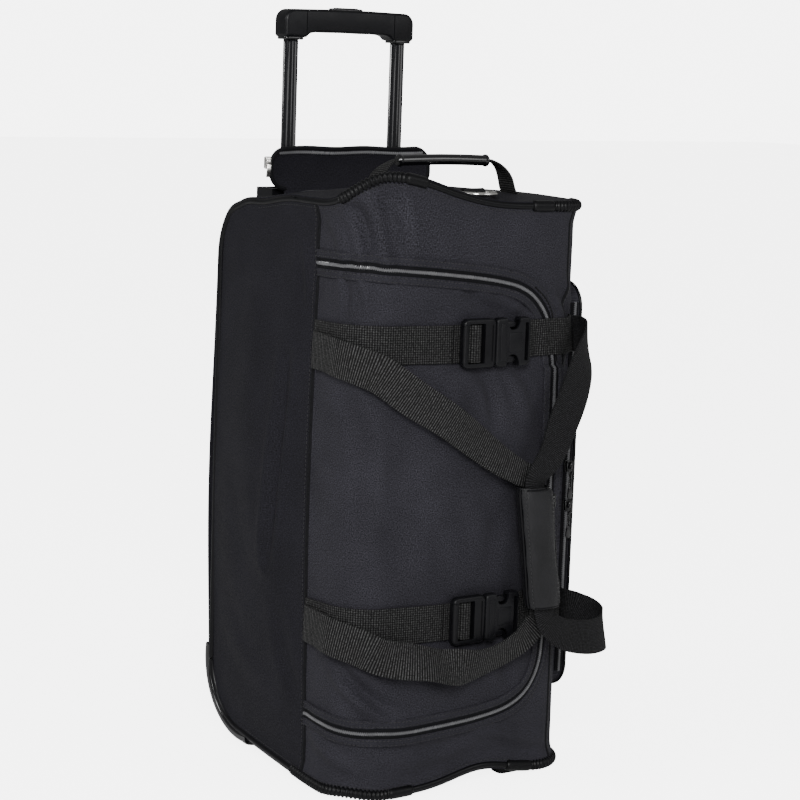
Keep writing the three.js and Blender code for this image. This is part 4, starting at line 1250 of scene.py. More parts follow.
@dataclass
class SoftShell:
    """The fabric body: side panels, lid, frame, the strip over top, back and bottom, and the piping."""

    bench: Workbench
    form: BagForm
    panel: float = 2.6
    near_seam: float = NEAR_SEAM
    far_seam: float = FAR_SEAM
    lid_line: tuple[tuple[float, float], ...] = (
        (190, 546), (250, 547), (310, 544), (370, 538), (420, 531), (450, 523), (473, 508), (489, 486),
        (496.5, 450), (498, 410), (498, 300), (498, 215), (499, 150), (495, 120), (480, 98), (455, 84),
        (420, 77), (370, 74), (310, 73), (250, 75), (190, 80))
    frame_line: tuple[tuple[float, float], ...] = (
        (190, 999), (250, 999), (310, 999), (370, 999), (420, 999), (460, 999), (522, 999), (522, 540),
        (522, 470), (522, 400), (522, 300), (522, 200), (522, 150), (522, 100), (522, -999), (460, -999),
        (420, -999), (370, -999), (310, -999), (250, -999), (190, -999))

    def build(self) -> None:
        """Builds and dresses every fabric panel and the piping."""
        self.build_side(Side.NEAR)
        self.build_side(Side.FAR)
        self.build_frame()
        self.build_lid()
        self.build_hinge()
        self.build_strip()
        self.build_piping()
        for corner in GUARDS:
            self.build_guard(corner)
        self.build_seams()

    def ends_at(self, s: Array) -> tuple[Array, Array]:
        """The bottom's and top's heights at distances round the bag."""
        return self.form.ends(self.form.plan(s)[1])

    def panel_slab(self, s: Array, z: Array) -> Stock:
        """A panel's shape over a grid of places round the bag."""
        outer = self.form.skin(s, z)
        return slab(outer, self.panel, np.stack([s, z], axis=-1), normals=self.form.normals(s, z))

    def build_side(self, side: Side) -> None:
        """Builds a side panel, from its seam to the back edge."""
        total = self.form.marks[4]
        run = np.linspace(0, 1, 76)
        eased = 1 - np.cos(run * math.pi / 2) if side is Side.NEAR else np.sin(run * math.pi / 2)
        start, stop = (0.0, self.near_seam) if side is Side.NEAR else (self.far_seam, total)
        s = np.broadcast_to(start + (stop - start) * eased, (150, len(run)))
        low, high = self.ends_at(s)
        z = low + (high - low) * np.linspace(0, 1, 150)[:, None]
        name = f"{side.word}_side_fabric"
        # The near side takes the canvas with painted shade, the far side the plain canvas.
        piece = self.bench.place(name, self.panel_slab(s, z), CANVAS_PAINTED_SHADE if side is Side.NEAR else CANVAS,
                                 "root", f"{side.word}_side_panel")

    def line(self, knots: Sequence[tuple[float, float]], steps: int) -> Array:
        """A smooth line through knots of places round the bag, with the panel's ends filled in."""
        path = spline(np.array([(s, min(max(z, -50), 700)) for s, z in knots]), steps)
        low, high = self.ends_at(path[:, 0])
        path[:, 1] = np.clip(path[:, 1], low, high)
        return path

    def build_frame(self) -> None:
        """Builds the front's fixed rim round the lid."""
        inner = self.line(self.lid_line, 20)
        knots = np.array(self.frame_line)
        s = np.concatenate([np.interp(np.linspace(0, 1, 21)[:-1], [0, 1], [a, b])
                            for a, b in zip(knots[:-1, 0], knots[1:, 0])] + [[knots[-1, 0]]])
        low, high = self.ends_at(s)
        raw = []
        for (s0, z0), (s1, z1) in zip(self.frame_line[:-1], self.frame_line[1:]):
            span = [float(np.clip(z, *self.ends_at(np.array(s, float)))) for s, z in ((s0, z0), (s1, z1))]
            raw.append(np.interp(np.linspace(0, 1, 21)[:-1], [0, 1], span))
        z = np.concatenate(raw + [[low[-1]]])
        short_of_seam = s < self.far_seam - 0.1
        middle, index = len(s) // 2, np.arange(len(s))
        z = np.where(short_of_seam & (index < middle), high, z)
        z = np.where(short_of_seam & (index > middle), low, z)
        outer = np.stack([s, z], axis=1)
        t = np.linspace(0, 1, 24)[:, None, None]
        grid = outer[None] * (1 - t) + inner[None] * t
        piece = self.bench.place("front_rim_fabric", self.panel_slab(grid[..., 0], grid[..., 1]), CANVAS, "root",
                                 "front_frame")

    def lid_edge(self) -> Array:
        """The lid's outline, from the seam's top round to the seam's bottom."""
        return self.line(self.lid_line, 20)

    def build_lid(self) -> None:
        """Builds the padded lid inside the zip."""
        edge = self.lid_edge()
        half = len(edge) // 2
        top, bottom = edge[:half], edge[::-1][:half]
        rows = np.linspace(0, 1, 132)[:, None, None]
        grid = bottom[None] * (1 - rows) + top[None] * rows
        piece = self.bench.place("lid_fabric", self.panel_slab(grid[..., 0], grid[..., 1]), CANVAS, "lid",
                                 "front_lid")

    def build_hinge(self) -> None:
        """Builds the inner tape that the lid's seam folds on, from the side panel to the lid."""
        edge = self.lid_edge()
        reach, depth = 9.0, self.panel + 0.6
        low, high = float(edge[-1, 1]) + 12, float(edge[0, 1]) - 12
        s = np.broadcast_to(self.near_seam + np.linspace(-reach, reach, 25), (110, 25))
        z = np.broadcast_to(np.linspace(low, high, 110)[:, None], s.shape)
        outer = self.form.on(s, z, -depth)
        shape = slab(outer, 0.8, np.stack([s, z], axis=-1), normals=self.form.normals(s, z))
        piece = self.bench.mesh("lid_hinge_tape", shape)
        self.bench.dress(piece, CANVAS_PAINTED_SHADE)
        seam = np.array([self.near_seam - 5, self.near_seam + 5])
        start, end = self.bench.metres(self.form.on(seam, np.full(2, (low + high) / 2), -depth))
        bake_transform(piece)
        self.bench.count += 1

    def build_strip(self) -> None:
        """Builds the strip over the top, down the back and along the bottom."""
        form = self.form
        cy, cz = form.high_arc
        ly, lz = form.low_arc
        t = np.linspace(0, math.pi / 2, 24)
        front = form.front + form.radius * (1 - np.cos(np.linspace(0, math.pi / 2, 14)))
        top_y = np.concatenate([front, np.linspace(front[-1], cy, 46)[1:]])
        top = np.stack([top_y, np.full(len(top_y), form.top)], axis=1)
        arc_high = np.stack([cy + form.arc * np.sin(t), cz + form.arc * np.cos(t)], axis=1)
        down = np.stack([np.full(120, form.back), np.linspace(cz, lz, 120)], axis=1)
        stop = math.acos((form.slope_end - ly) / form.arc)
        turn = np.linspace(0, stop, 24)
        arc_low = np.stack([ly + form.arc * np.cos(turn), lz - form.arc * np.sin(turn)], axis=1)
        back_part = np.concatenate([arc_high, down[1:], arc_low[1:]])
        low_y = np.concatenate([np.linspace(form.slope_end, front[-1], 46), front[::-1][1:]])
        bottom = np.stack([low_y, form.ends(low_y)[0]], axis=1)
        for name, node, path, start in (("top_fabric", "top_panel", top, 0),
                                        ("back_fabric", "back_panel", back_part, 300),
                                        ("bottom_fabric", "bottom_panel", bottom, 1000)):
            share = np.linspace(-1, 1, 84)
            y, z = path[:, 0][:, None], path[:, 1][:, None]
            x = share * form.reach(y)
            points = np.stack(np.broadcast_arrays(x, y, z), axis=-1)
            middle = (points[:-1, :-1] + points[1:, 1:]) / 2
            housing = (np.abs(middle[..., 0]) < 99) & (middle[..., 1] > 112) & (middle[..., 2] > 538)
            wheel = (np.abs(middle[..., 0]) > 95) & (middle[..., 1] > 59) & (middle[..., 2] < 105)
            ripple = 1.1 * np.sin(x / 31 + y / 57) * np.sin(y / 23 - x / 90) * (1 - share**2)
            points[..., 2] += ripple * (name == "top_fabric")
            points[..., 1] += ripple * (name == "back_fabric")
            cloth = np.stack(np.broadcast_arrays(x, lengths(path)[:, None] + start), axis=-1)
            shape = slab(form.warp(points)[:, ::-1], self.panel, cloth[:, ::-1], ~(housing | wheel)[:, ::-1])
            piece = self.bench.place(name, shape, CANVAS_PAINTED_SHADE, "root", node)

    def build_piping(self) -> None:
        """Builds the cord covered in vinyl that edges both seams."""
        _, high = self.form.edge(True)
        _, low = self.form.edge(False)
        spine = resample(np.concatenate([high, low[::-1]]), 3.2)[:-1]
        self.bench.place("edge_piping", tube(spine, 3.7, 14, closed=True), PIPING_VINYL, "root", "piping_loop")

    def build_guard(self, guard: "Guard") -> None:
        """Builds one ribbed corner guard round the piping, with its plain sleeve.

        Args:
            guard: where it runs.
        """
        s, path = self.form.edge(guard.upper)
        start, stop = sorted((guard.ribs_from, guard.ribs_to))
        chosen = (s >= start) & (s <= stop)
        ribs = resample(path[chosen], 0.8)
        at = lengths(ribs)
        swing = np.cos(at / guard.pitch * 2 * math.pi)
        radius = guard.radius - 0.75 + 0.75 * np.clip(swing * 1.6, -1, 1)
        radius = radius * np.clip(0.8 + at / 5, 0, 1) * np.clip(0.8 + (at[-1] - at) / 5, 0, 1)
        shape = tube(ribs, radius, 16)
        start, stop = sorted((guard.ribs_to, guard.sleeve_to))
        chosen = (s >= start - 1) & (s <= stop + 1)
        sleeve = resample(path[chosen], 1.5)
        at = lengths(sleeve)
        ends = np.minimum(at, at[-1] - at)
        width = guard.radius * np.clip(0.72 + ends / 6, 0, 1.0)
        shape.merge(tube(sleeve, width, 16))
        self.bench.place(f"{guard.name}_ribs", shape, RUBBER, "root", guard.name, sharp=60)

    def build_seams(self) -> None:
        """Sews the twin stitch rows along the seams of the sides and the strip's edges."""
        rows = Stock()
        for seam, gap in ((self.near_seam, -3.5), (self.far_seam, 3.5)):
            low, high = (float(v) for v in self.ends_at(np.array(seam)))
            z = np.linspace(low + 6, high - 6, 260)
            s = np.full_like(z, seam + gap)
            rows.merge(stitches(self.form.on(s, z, 0.1), self.form.normals(s, z), 4.6, 3.2, 0.4))
        for upper in (True, False):
            s = np.linspace(12, self.form.marks[4] - 12, 900)
            low, high = self.ends_at(s)
            z = high - 7.5 if upper else low + 7.5
            z = np.clip(z, low + 1, high - 1)
            _, y, _, _ = self.form.plan(s)
            chosen = (y < 60) & ((s < 470) | (s > 530))
            for part in (chosen & (s < 500), chosen & (s > 500)):
                if part.sum() > 4:
                    rows.merge(stitches(self.form.on(s[part], z[part], 0.1), self.form.normals(s[part], z[part]),
                                        4.6, 3.2, 0.4))
        self.bench.place("shell_stitching", rows, THREAD, "root")
        for name, seam, width in (("near_seam_fold", self.near_seam, 2.4), ("far_seam_fold", self.far_seam, 2.4)):
            low, high = (float(v) for v in self.ends_at(np.array(seam)))
            z = np.linspace(low + 2, high - 2, 240)
            s = np.full_like(z, seam)
            path = self.form.on(s, z, -0.5)
            across, out = frames(path, self.form.normals(s, z))
            self.bench.place(name, sweep(path, across, out, circle(1.5, 10) * np.array([1.0, width / 1.5])),
                             BINDING, "root")


@dataclass(frozen=True)
class Guard:
    """Where a corner guard runs, as distances round the bag."""

    name: str
    upper: bool
    ribs_from: float
    ribs_to: float
    sleeve_to: float
    radius: float = 6.0
    pitch: float = 4.4


GUARDS = (
    Guard("guard_near_top", True, 231, 303, 327),
    Guard("guard_far_top", True, 566, 488, 462),
    Guard("guard_near_bottom", False, 172, 308, 336),
    Guard("guard_far_bottom", False, 562, 490, 459),
)


# ---- The zips ----
@dataclass
class ZipLine:
    """One zip along a line: its tape, its coil teeth and the folded bands beside them."""

    points: Array
    normals: Array
    pitch: float = 2.1
    tooth: float = 0.72
    half_width: float = 1.9

    def ribbon(self, offset: float, width: float, thick: float, lift: float) -> Stock:
        """A strip beside the line.

        Args:
            offset: how far to the left of the line its middle lies.
            width: its width.
            thick: its thickness.
            lift: how high its middle lies.

        Returns:
            The strip's shape.
        """
        along = tangents(self.points)
        left = unit(np.cross(self.normals, along))
        path = self.points + left * offset + self.normals * lift
        return sweep(path, self.normals, left, rounded_rect(thick, width, thick * 0.45, 4))

    def teeth(self, sign: int, lift: float) -> Stock:
        """One side's coil: a small loop every pitch, woven between the other side's.

        Args:
            sign: 1 for the left side and -1 for the right.
            lift: how high the coil lies.

        Returns:
            The loops' shapes.
        """
        both = resample(np.concatenate([self.points, self.normals], axis=1), self.pitch / 2)
        both = both[(0 if sign > 0 else 1)::2]
        middle, up = both[:, :3], unit(both[:, 3:])
        along = tangents(middle)
        left = unit(np.cross(up, along)) * sign
        ring = circle(self.tooth, 6)
        stops = np.array([-0.55, -0.45, 0.2, 0.9, 1.0]) * self.half_width
        sizes = np.array([0.5, 1.0, 0.92, 0.9, 0.5])
        rises = np.array([0.0, 0.3, 0.3, 0.0, -0.3])
        rows = [middle + left * stop + up * (lift + rise) for stop, rise in zip(stops, rises)]
        template = grid_faces(5, 6, wrap=True)
        section = ring[None, :, :1] * along[:, None] + ring[None, :, 1:] * up[:, None]
        points = np.stack([row[:, None] + size * section for row, size in zip(rows, sizes)], axis=1)
        count = len(middle)
        starts = (np.arange(count) * 30)[:, None, None]
        quads = (template[None] + starts).reshape(-1, 4)
        if sign > 0:
            quads = quads[:, ::-1]
        ends = [[k * 30 + i for i in range(6)] for k in range(count)]
        tips = [[k * 30 + 24 + i for i in range(5, -1, -1)] for k in range(count)]
        return Stock().add(points.reshape(-1, 3), quads.tolist() + ends + tips)

    def rows(self, offset: float, lift: float) -> Stock:
        """A row of stitches beside the line."""
        left = unit(np.cross(self.normals, tangents(self.points)))
        return stitches(self.points + left * offset + self.normals * lift, self.normals, 4.4, 3.1, 0.4)


@dataclass(frozen=True)
class PullStyle:
    """The sizes of a zip slider's pull."""

    length: float = 24.0
    width: float = 7.0
    links: int = 2


@dataclass
class Slider:
    """A zip slider with its crown and a pull that hangs from it."""

    bench: Workbench
    slider_body: str
    pull_body: str
    place: Array
    normal: Array
    along: Array
    style: PullStyle = field(default_factory=PullStyle)

    def axes(self) -> Array:
        """The slider's own axes: across, out and along."""
        out = unit(np.asarray(self.normal, float))
        along = np.asarray(self.along, float)
        along = unit(along - out * (along @ out))
        return np.stack([np.cross(along, out), out, along])

    def put(self, stock: Stock) -> Stock:
        """Moves a shape from the slider's axes to its place on the bag."""
        stock.points = [np.asarray(self.place) + p @ self.axes() for p in stock.points]
        return stock

    def build(self) -> None:
        """Builds the slider and its pull."""
        shape = prism(self.plate(), -0.4, 1.2, 0.5)
        shape.merge(prism(self.plate(0.92), 3.2, 4.8, 0.7))
        shape.merge(block((-1.1, 1.1), (1.0, 3.4), (-1.0, 5.4), 0.3, 2))
        crown = spline(np.array([(0, 4.4, 4.4), (0, 6.5, 3.6), (0, 7.4, 0.6), (0, 6.6, -2.4), (0, 4.5, -3.4)]), 6)
        shape.merge(sweep(crown, *frames(crown, (1, 0, 0)), rounded_rect(2.4, 1.1, 0.5, 3)))
        self.bench.place(self.slider_body, self.put(shape), GLOSS, self.slider_body, self.slider_body)
        self.build_pull()

    def plate(self, share: float = 1.0) -> Array:
        """The outline of a slider's plate: broad shoulders over a narrow tail."""
        half = np.array([(3.6, -6.2), (4.3, -4.6), (4.6, -1.0), (5.2, 3.2), (5.0, 5.4), (3.4, 6.5)]) * share
        return np.concatenate([half, half[::-1] * (-1, 1)])

    def build_pull(self) -> None:
        """Builds the pull: a looped arm, chain links and a tapered tag."""
        style = self.style
        start = -1.2
        arm = np.array([(1.9, 6.2, start + 1.5), (2.3, 6.6, start - 2), (1.9, 6.2, start - 6.5),
                        (0, 6.0, start - 7.6), (-1.9, 6.2, start - 6.5), (-2.3, 6.6, start - 2),
                        (-1.9, 6.2, start + 1.5), (0, 6.0, start + 2.4)])
        loop = spline(np.concatenate([arm, arm[:1]]), 6)[:-1]
        shape = tube(loop, 0.75, 8, closed=True, hint=(0, 1, 0))
        z = start - 6.6
        angle = np.linspace(0, 2 * math.pi, 20, endpoint=False)
        for number in range(style.links):
            ring = np.stack([np.cos(angle) * 1.5, np.zeros(20), np.sin(angle) * 2.7], axis=1)
            if number % 2 == 0:
                ring = ring[:, [1, 0, 2]]
            shape.merge(tube(ring + (0, 6.0, z - 1.7), 0.62, 7, closed=True, hint=(1, 1, 0)))
            z -= 3.7
        half = style.width / 2
        low = -style.length
        tag = np.array([(1.4, z + 0.6), (2.2, z - 1.6), (half * 0.9, z - 6), (half, low + 3),
                        (half * 0.7, low + 0.7), (0, low)])
        outline = np.concatenate([tag, tag[:-1][::-1] * (-1, 1)])
        shape.merge(prism(outline, 4.8, 7.0, 0.8))
        shape.merge(prism(outline * (0.55, 1), 4.5, 7.3, 0.4))
        self.bench.place(self.pull_body, self.put(shape), GLOSS, self.pull_body, self.pull_body)


@dataclass
class MainZip:
    """The lid's zip: tapes, teeth, raised bands, stitching and two sliders."""

    bench: Workbench
    shell: SoftShell

    def build(self) -> None:
        """Builds both halves of the zip and its sliders."""
        form = self.shell.form
        edge = resample(self.shell.lid_edge(), 2.6)
        s, z = edge[:, 0], edge[:, 1]
        line = ZipLine(form.on(s, z), form.normals(s, z))
        for sign, node, body in ((1, "zip_frame_half", "root"), (-1, "zip_lid_half", "lid")):
            tape = line.ribbon(sign * 3.3, 6.2, 1.0, 0.7)
            self.bench.place(f"{node}_tape", tape, TAPE, body, node)
            self.bench.place(f"{node}_coil", line.teeth(sign, 1.7), COIL, body)
            band = line.ribbon(sign * 9.4, 8.2, 2.4, 0.9)
            self.bench.place(f"{node}_band", band, CANVAS, body)
            sewn = line.rows(sign * 7.2, 2.1)
            sewn.merge(line.rows(sign * 11.8, 2.1))
            self.bench.place(f"{node}_stitching", sewn, THREAD, body)
        self.build_sliders()
        self.build_cord()

    def build_sliders(self) -> None:
        """Builds the two sliders that meet at the far side of the lid."""
        form = self.shell.form
        edge = self.shell.lid_edge()
        right = edge[edge[:, 0] > 485]
        for word, height in (("upper", 300.0), ("lower", 262.0)):
            s, z = right[int(np.argmin(np.abs(right[:, 1] - height)))]
            place, normal = form.on(np.array(s), np.array(z), 1.9), form.normals(np.array(s), np.array(z))
            Slider(self.bench, f"zip_slider_{word}", f"zip_pull_{word}", place, normal,
                   np.array([0, 0, 1.0])).build()

    def build_cord(self) -> None:
        """Builds the thin bright cord in the zip's upper far curve."""
        form = self.shell.form
        line = spline(np.array([(462, 521), (478, 508), (489, 492), (495, 470), (498, 442)]), 14)
        path = form.on(line[:, 0] + 4.0, line[:, 1] + 2.5, 2.0)
        self.bench.place("zip_welt", tube(path, 1.2, 8), PIPING_VINYL, "root")


# ---- Webbing ----
@dataclass(frozen=True)
class Knot:
    """One station of a strap: where it is, which way its face looks and how wide it is."""

    place: tuple[float, float, float]
    face: tuple[float, float, float]
    width: float = 38.0


def strap_outline(steps: int) -> Array:
    """A strap's section, from -1 to 1 across and 1 thick, with slightly rounded edges."""
    t = np.linspace(-1, 1, steps)
    upper = np.stack([t, np.full(steps, 0.5)], axis=1)
    lower = np.stack([t[::-1], np.full(steps, -0.5)], axis=1)
    return np.concatenate([upper, [[1.012, 0.2], [1.012, -0.2]], lower, [[-1.012, -0.2], [-1.012, 0.2]]])


def ribbon(knots: Sequence[Knot], thickness: float, per_span: int = 12, cup: float = 0.0) -> Stock:
    """A strap through knots, with rounded edges.

    Args:
        knots: its stations.
        thickness: its thickness.
        per_span: steps from a knot to the next.
        cup: how far its middle stands out of its edges.

    Returns:
        The strap's shape.
    """
    table = spline(np.array([(*k.place, *k.face, k.width) for k in knots]), per_span)
    table = resample(table, 1.6)
    path, face, width = table[:, :3], unit(table[:, 3:6]), table[:, 6]
    along = tangents(path)
    face = unit(face - along * np.einsum("ij,ij->i", face, along)[:, None])
    across = np.cross(along, face)
    outline = strap_outline(15)
    section = np.empty((len(path), len(outline), 2))
    section[..., 0] = outline[None, :, 0] * width[:, None] / 2
    wave = 0.35 * np.sin(np.arange(len(path)) / 9.0)[:, None] * outline[None, :, 0] ** 2
    section[..., 1] = outline[None, :, 1] * thickness + cup * (1 - outline[None, :, 0] ** 2) + wave
    return sweep(path, across, face, section)


@dataclass
class CompressionStrap:
    """A strap over the lid with its side-release buckle."""

    bench: Workbench
    shell: SoftShell
    word: str
    height: float
    lift: float = 3.0
    near_end: float = 192.0
    far_end: float = 571.0

    def seat(self, stock: Stock) -> Stock:
        """Moves a shape from the flat front to where the cloth stands."""
        form = self.shell.form
        s = form.s_front(12.0)
        move = form.skin(np.array(s), np.array(self.height)) - (12.0, form.front, self.height)
        stock.points = [p + (0, move[1], 0) for p in stock.points]
        return stock

    def build(self) -> None:
        """Builds the webbing, the buckle's halves and the box stitching."""
        self.build_webbing()
        self.build_male()
        self.build_female()

    def laid(self, start: float, stop: float, width: float, lift: float, thick: float) -> Stock:
        """A strap laid on the cloth round the bag.

        Args:
            start: where it starts, round the bag.
            stop: where it stops.
            width: its width.
            lift: how high its middle lies.
            thick: its thickness.

        Returns:
            The strap's shape.
        """
        form = self.shell.form
        s = np.linspace(start, stop, int((stop - start) / 2.5))
        sag = 0.9 * np.sin((s - start) / 41.0)
        z = np.full_like(s, self.height) + sag
        half = width / 2
        middle = form.on(s, z, lift)
        above, below = form.on(s, z + half, lift), form.on(s, z - half, lift)
        across = unit(above - below)
        face = form.normals(s, z)
        face = unit(face - across * np.einsum("ij,ij->i", face, across)[:, None])
        path = middle * 0.5 + (above + below) * 0.25
        return sweep(path, across, face, strap_outline(13) * (half, thick))

    def build_webbing(self) -> None:
        """Builds the strap on the lid, the strap on the frame and their sewn ends."""
        form = self.shell.form
        near = self.laid(self.near_end, form.s_front(8), 38, self.lift, 1.8)
        self.bench.place(f"{self.word}_strap_near", near, WEBBING, "lid", f"{self.word}_strap_near")
        far = self.laid(form.s_front(30), self.far_end, 38, self.lift, 1.8)
        self.bench.place(f"{self.word}_strap_far", far, WEBBING, "root", f"{self.word}_strap_far")
        sewn = Stock()
        for s in (self.near_end + 4, self.near_end + 26):
            z = np.linspace(self.height - 15, self.height + 15, 12)
            at = np.full_like(z, s)
            sewn.merge(stitches(form.on(at, z, self.lift + 1.0), form.normals(at, z), 4.0, 3.0, 0.45))
        self.bench.place(f"{self.word}_strap_stitching", sewn, THREAD, "lid")

    def build_male(self) -> None:
        """Builds the buckle's ladder half with its three prongs, and the webbing looped round its bar."""
        z0, front = self.height, self.shell.form.front
        outline = rounded_rect(40, 50, 6, 6) + (-8, z0)
        outline[:, 0] = np.where(outline[:, 0] > 8, np.minimum(outline[:, 0], 12), outline[:, 0])
        shape = prism(outline, front - 13.2, front - 4.2, 2.2, "y", 4)
        cutters = [block((-22.5, -2.0), (front - 20, front), (z0 - 20.2, z0 + 20.2), 0.8, 2),
                   block((6.2, 8.0), (front - 14.4, front - 12.1), (z0 - 19, z0 + 19), 0.3, 2)]
        name = f"{self.word}_buckle_male"
        self.bench.place_cut(name, self.seat(shape), [self.seat(c) for c in cutters], PLASTIC,
                             f"{self.word}_buckle", name)
        bar = np.array([(-26.2, front - 12.0, z0 - 19), (-26.2, front - 12.0, z0 + 19)])
        extra = tube(bar, 3.2, 16, hint=(0, 1, 0))
        extra.merge(block((-14.6, -9.6), (front - 10.4, front - 6.4), (z0 - 21, z0 + 21), 1.2, 3))
        for offset in (-16, 0, 16):
            tip = 34 if offset else 30
            prong = np.array([(8, offset - 3), (tip - 4, offset - 2.6), (tip, offset - 0.5), (tip, offset + 0.5),
                              (tip - 4, offset + 2.6), (8, offset + 3)]) + (0, z0)
            extra.merge(prism(prong, front - 10, front - 6.2, 0.8, "y", 2))
            if offset:
                sign = math.copysign(1, offset)
                latch = np.array([(23, 15), (25, 20), (30, 21.4), (36.5, 20.4), (38, 17.5), (36, 14.5)])
                latch = latch * (1, sign) + (0, z0)
                extra.merge(prism(latch, front - 11.2, front - 5.6, 1.0, "y", 3))
        self.bench.place(f"{self.word}_buckle_prongs", self.seat(extra), PLASTIC, f"{self.word}_buckle")
        path = [(-36, 5.1), (-28, 4.9), (-22, 5.4), (-18.6, 8.4), (-16.4, 12.0), (-12, 13.6), (-7.6, 12.0),
                (-5.4, 8.4), (-3, 5.4), (3, 4.9)]
        knots = []
        for k, (x, lift) in enumerate(path):
            before, after = path[max(k - 1, 0)], path[min(k + 1, len(path) - 1)]
            face = (-(after[1] - before[1]), -(after[0] - before[0]), 0.0)
            knots.append(Knot((x, front - lift, z0), face, 38))
        loop = self.seat(ribbon(knots, 1.7, 8))
        self.bench.place(f"{self.word}_buckle_loop", loop, WEBBING, f"{self.word}_buckle")

    def build_female(self) -> None:
        """Builds the buckle's socket half, notched where the prongs are pressed."""
        z0, front = self.height, self.shell.form.front
        outline = rounded_rect(43, 50, 4.5, 6) + (33.5, z0)
        body = prism(outline, front - 14.4, front - 4.2, 2.4, "y", 4)
        cutters = [block((8, 42), (front - 11.9, front - 5.4), (z0 - 21.6, z0 + 21.6), 0.8, 2),
                   block((47.6, 52.0), (front - 20, front), (z0 - 19.6, z0 + 19.6), 1.0, 3)]
        for sign in (1, -1):
            notch = spline(np.array([(24.5, 30), (25.0, 20), (28.5, 13.8), (33, 12.6), (37.5, 14.2), (40.5, 20),
                                     (41, 30)]), 6) * (1, sign) + (0, z0)
            cutters.append(prism(notch, front - 20, front, 0.0))
        name = f"{self.word}_buckle_female"
        self.bench.place_cut(name, self.seat(body), [self.seat(c) for c in cutters], PLASTIC, "root", name)
        trim = block((16.5, 24.0), (front - 15.1, front - 13.6), (z0 - 19, z0 + 19), 0.7, 3)
        trim.merge(block((27.5, 44.0), (front - 15.0, front - 13.6), (z0 - 9.5, z0 + 9.5), 0.7, 3))
        self.bench.place(f"{self.word}_buckle_trim", self.seat(trim), PLASTIC, "root")


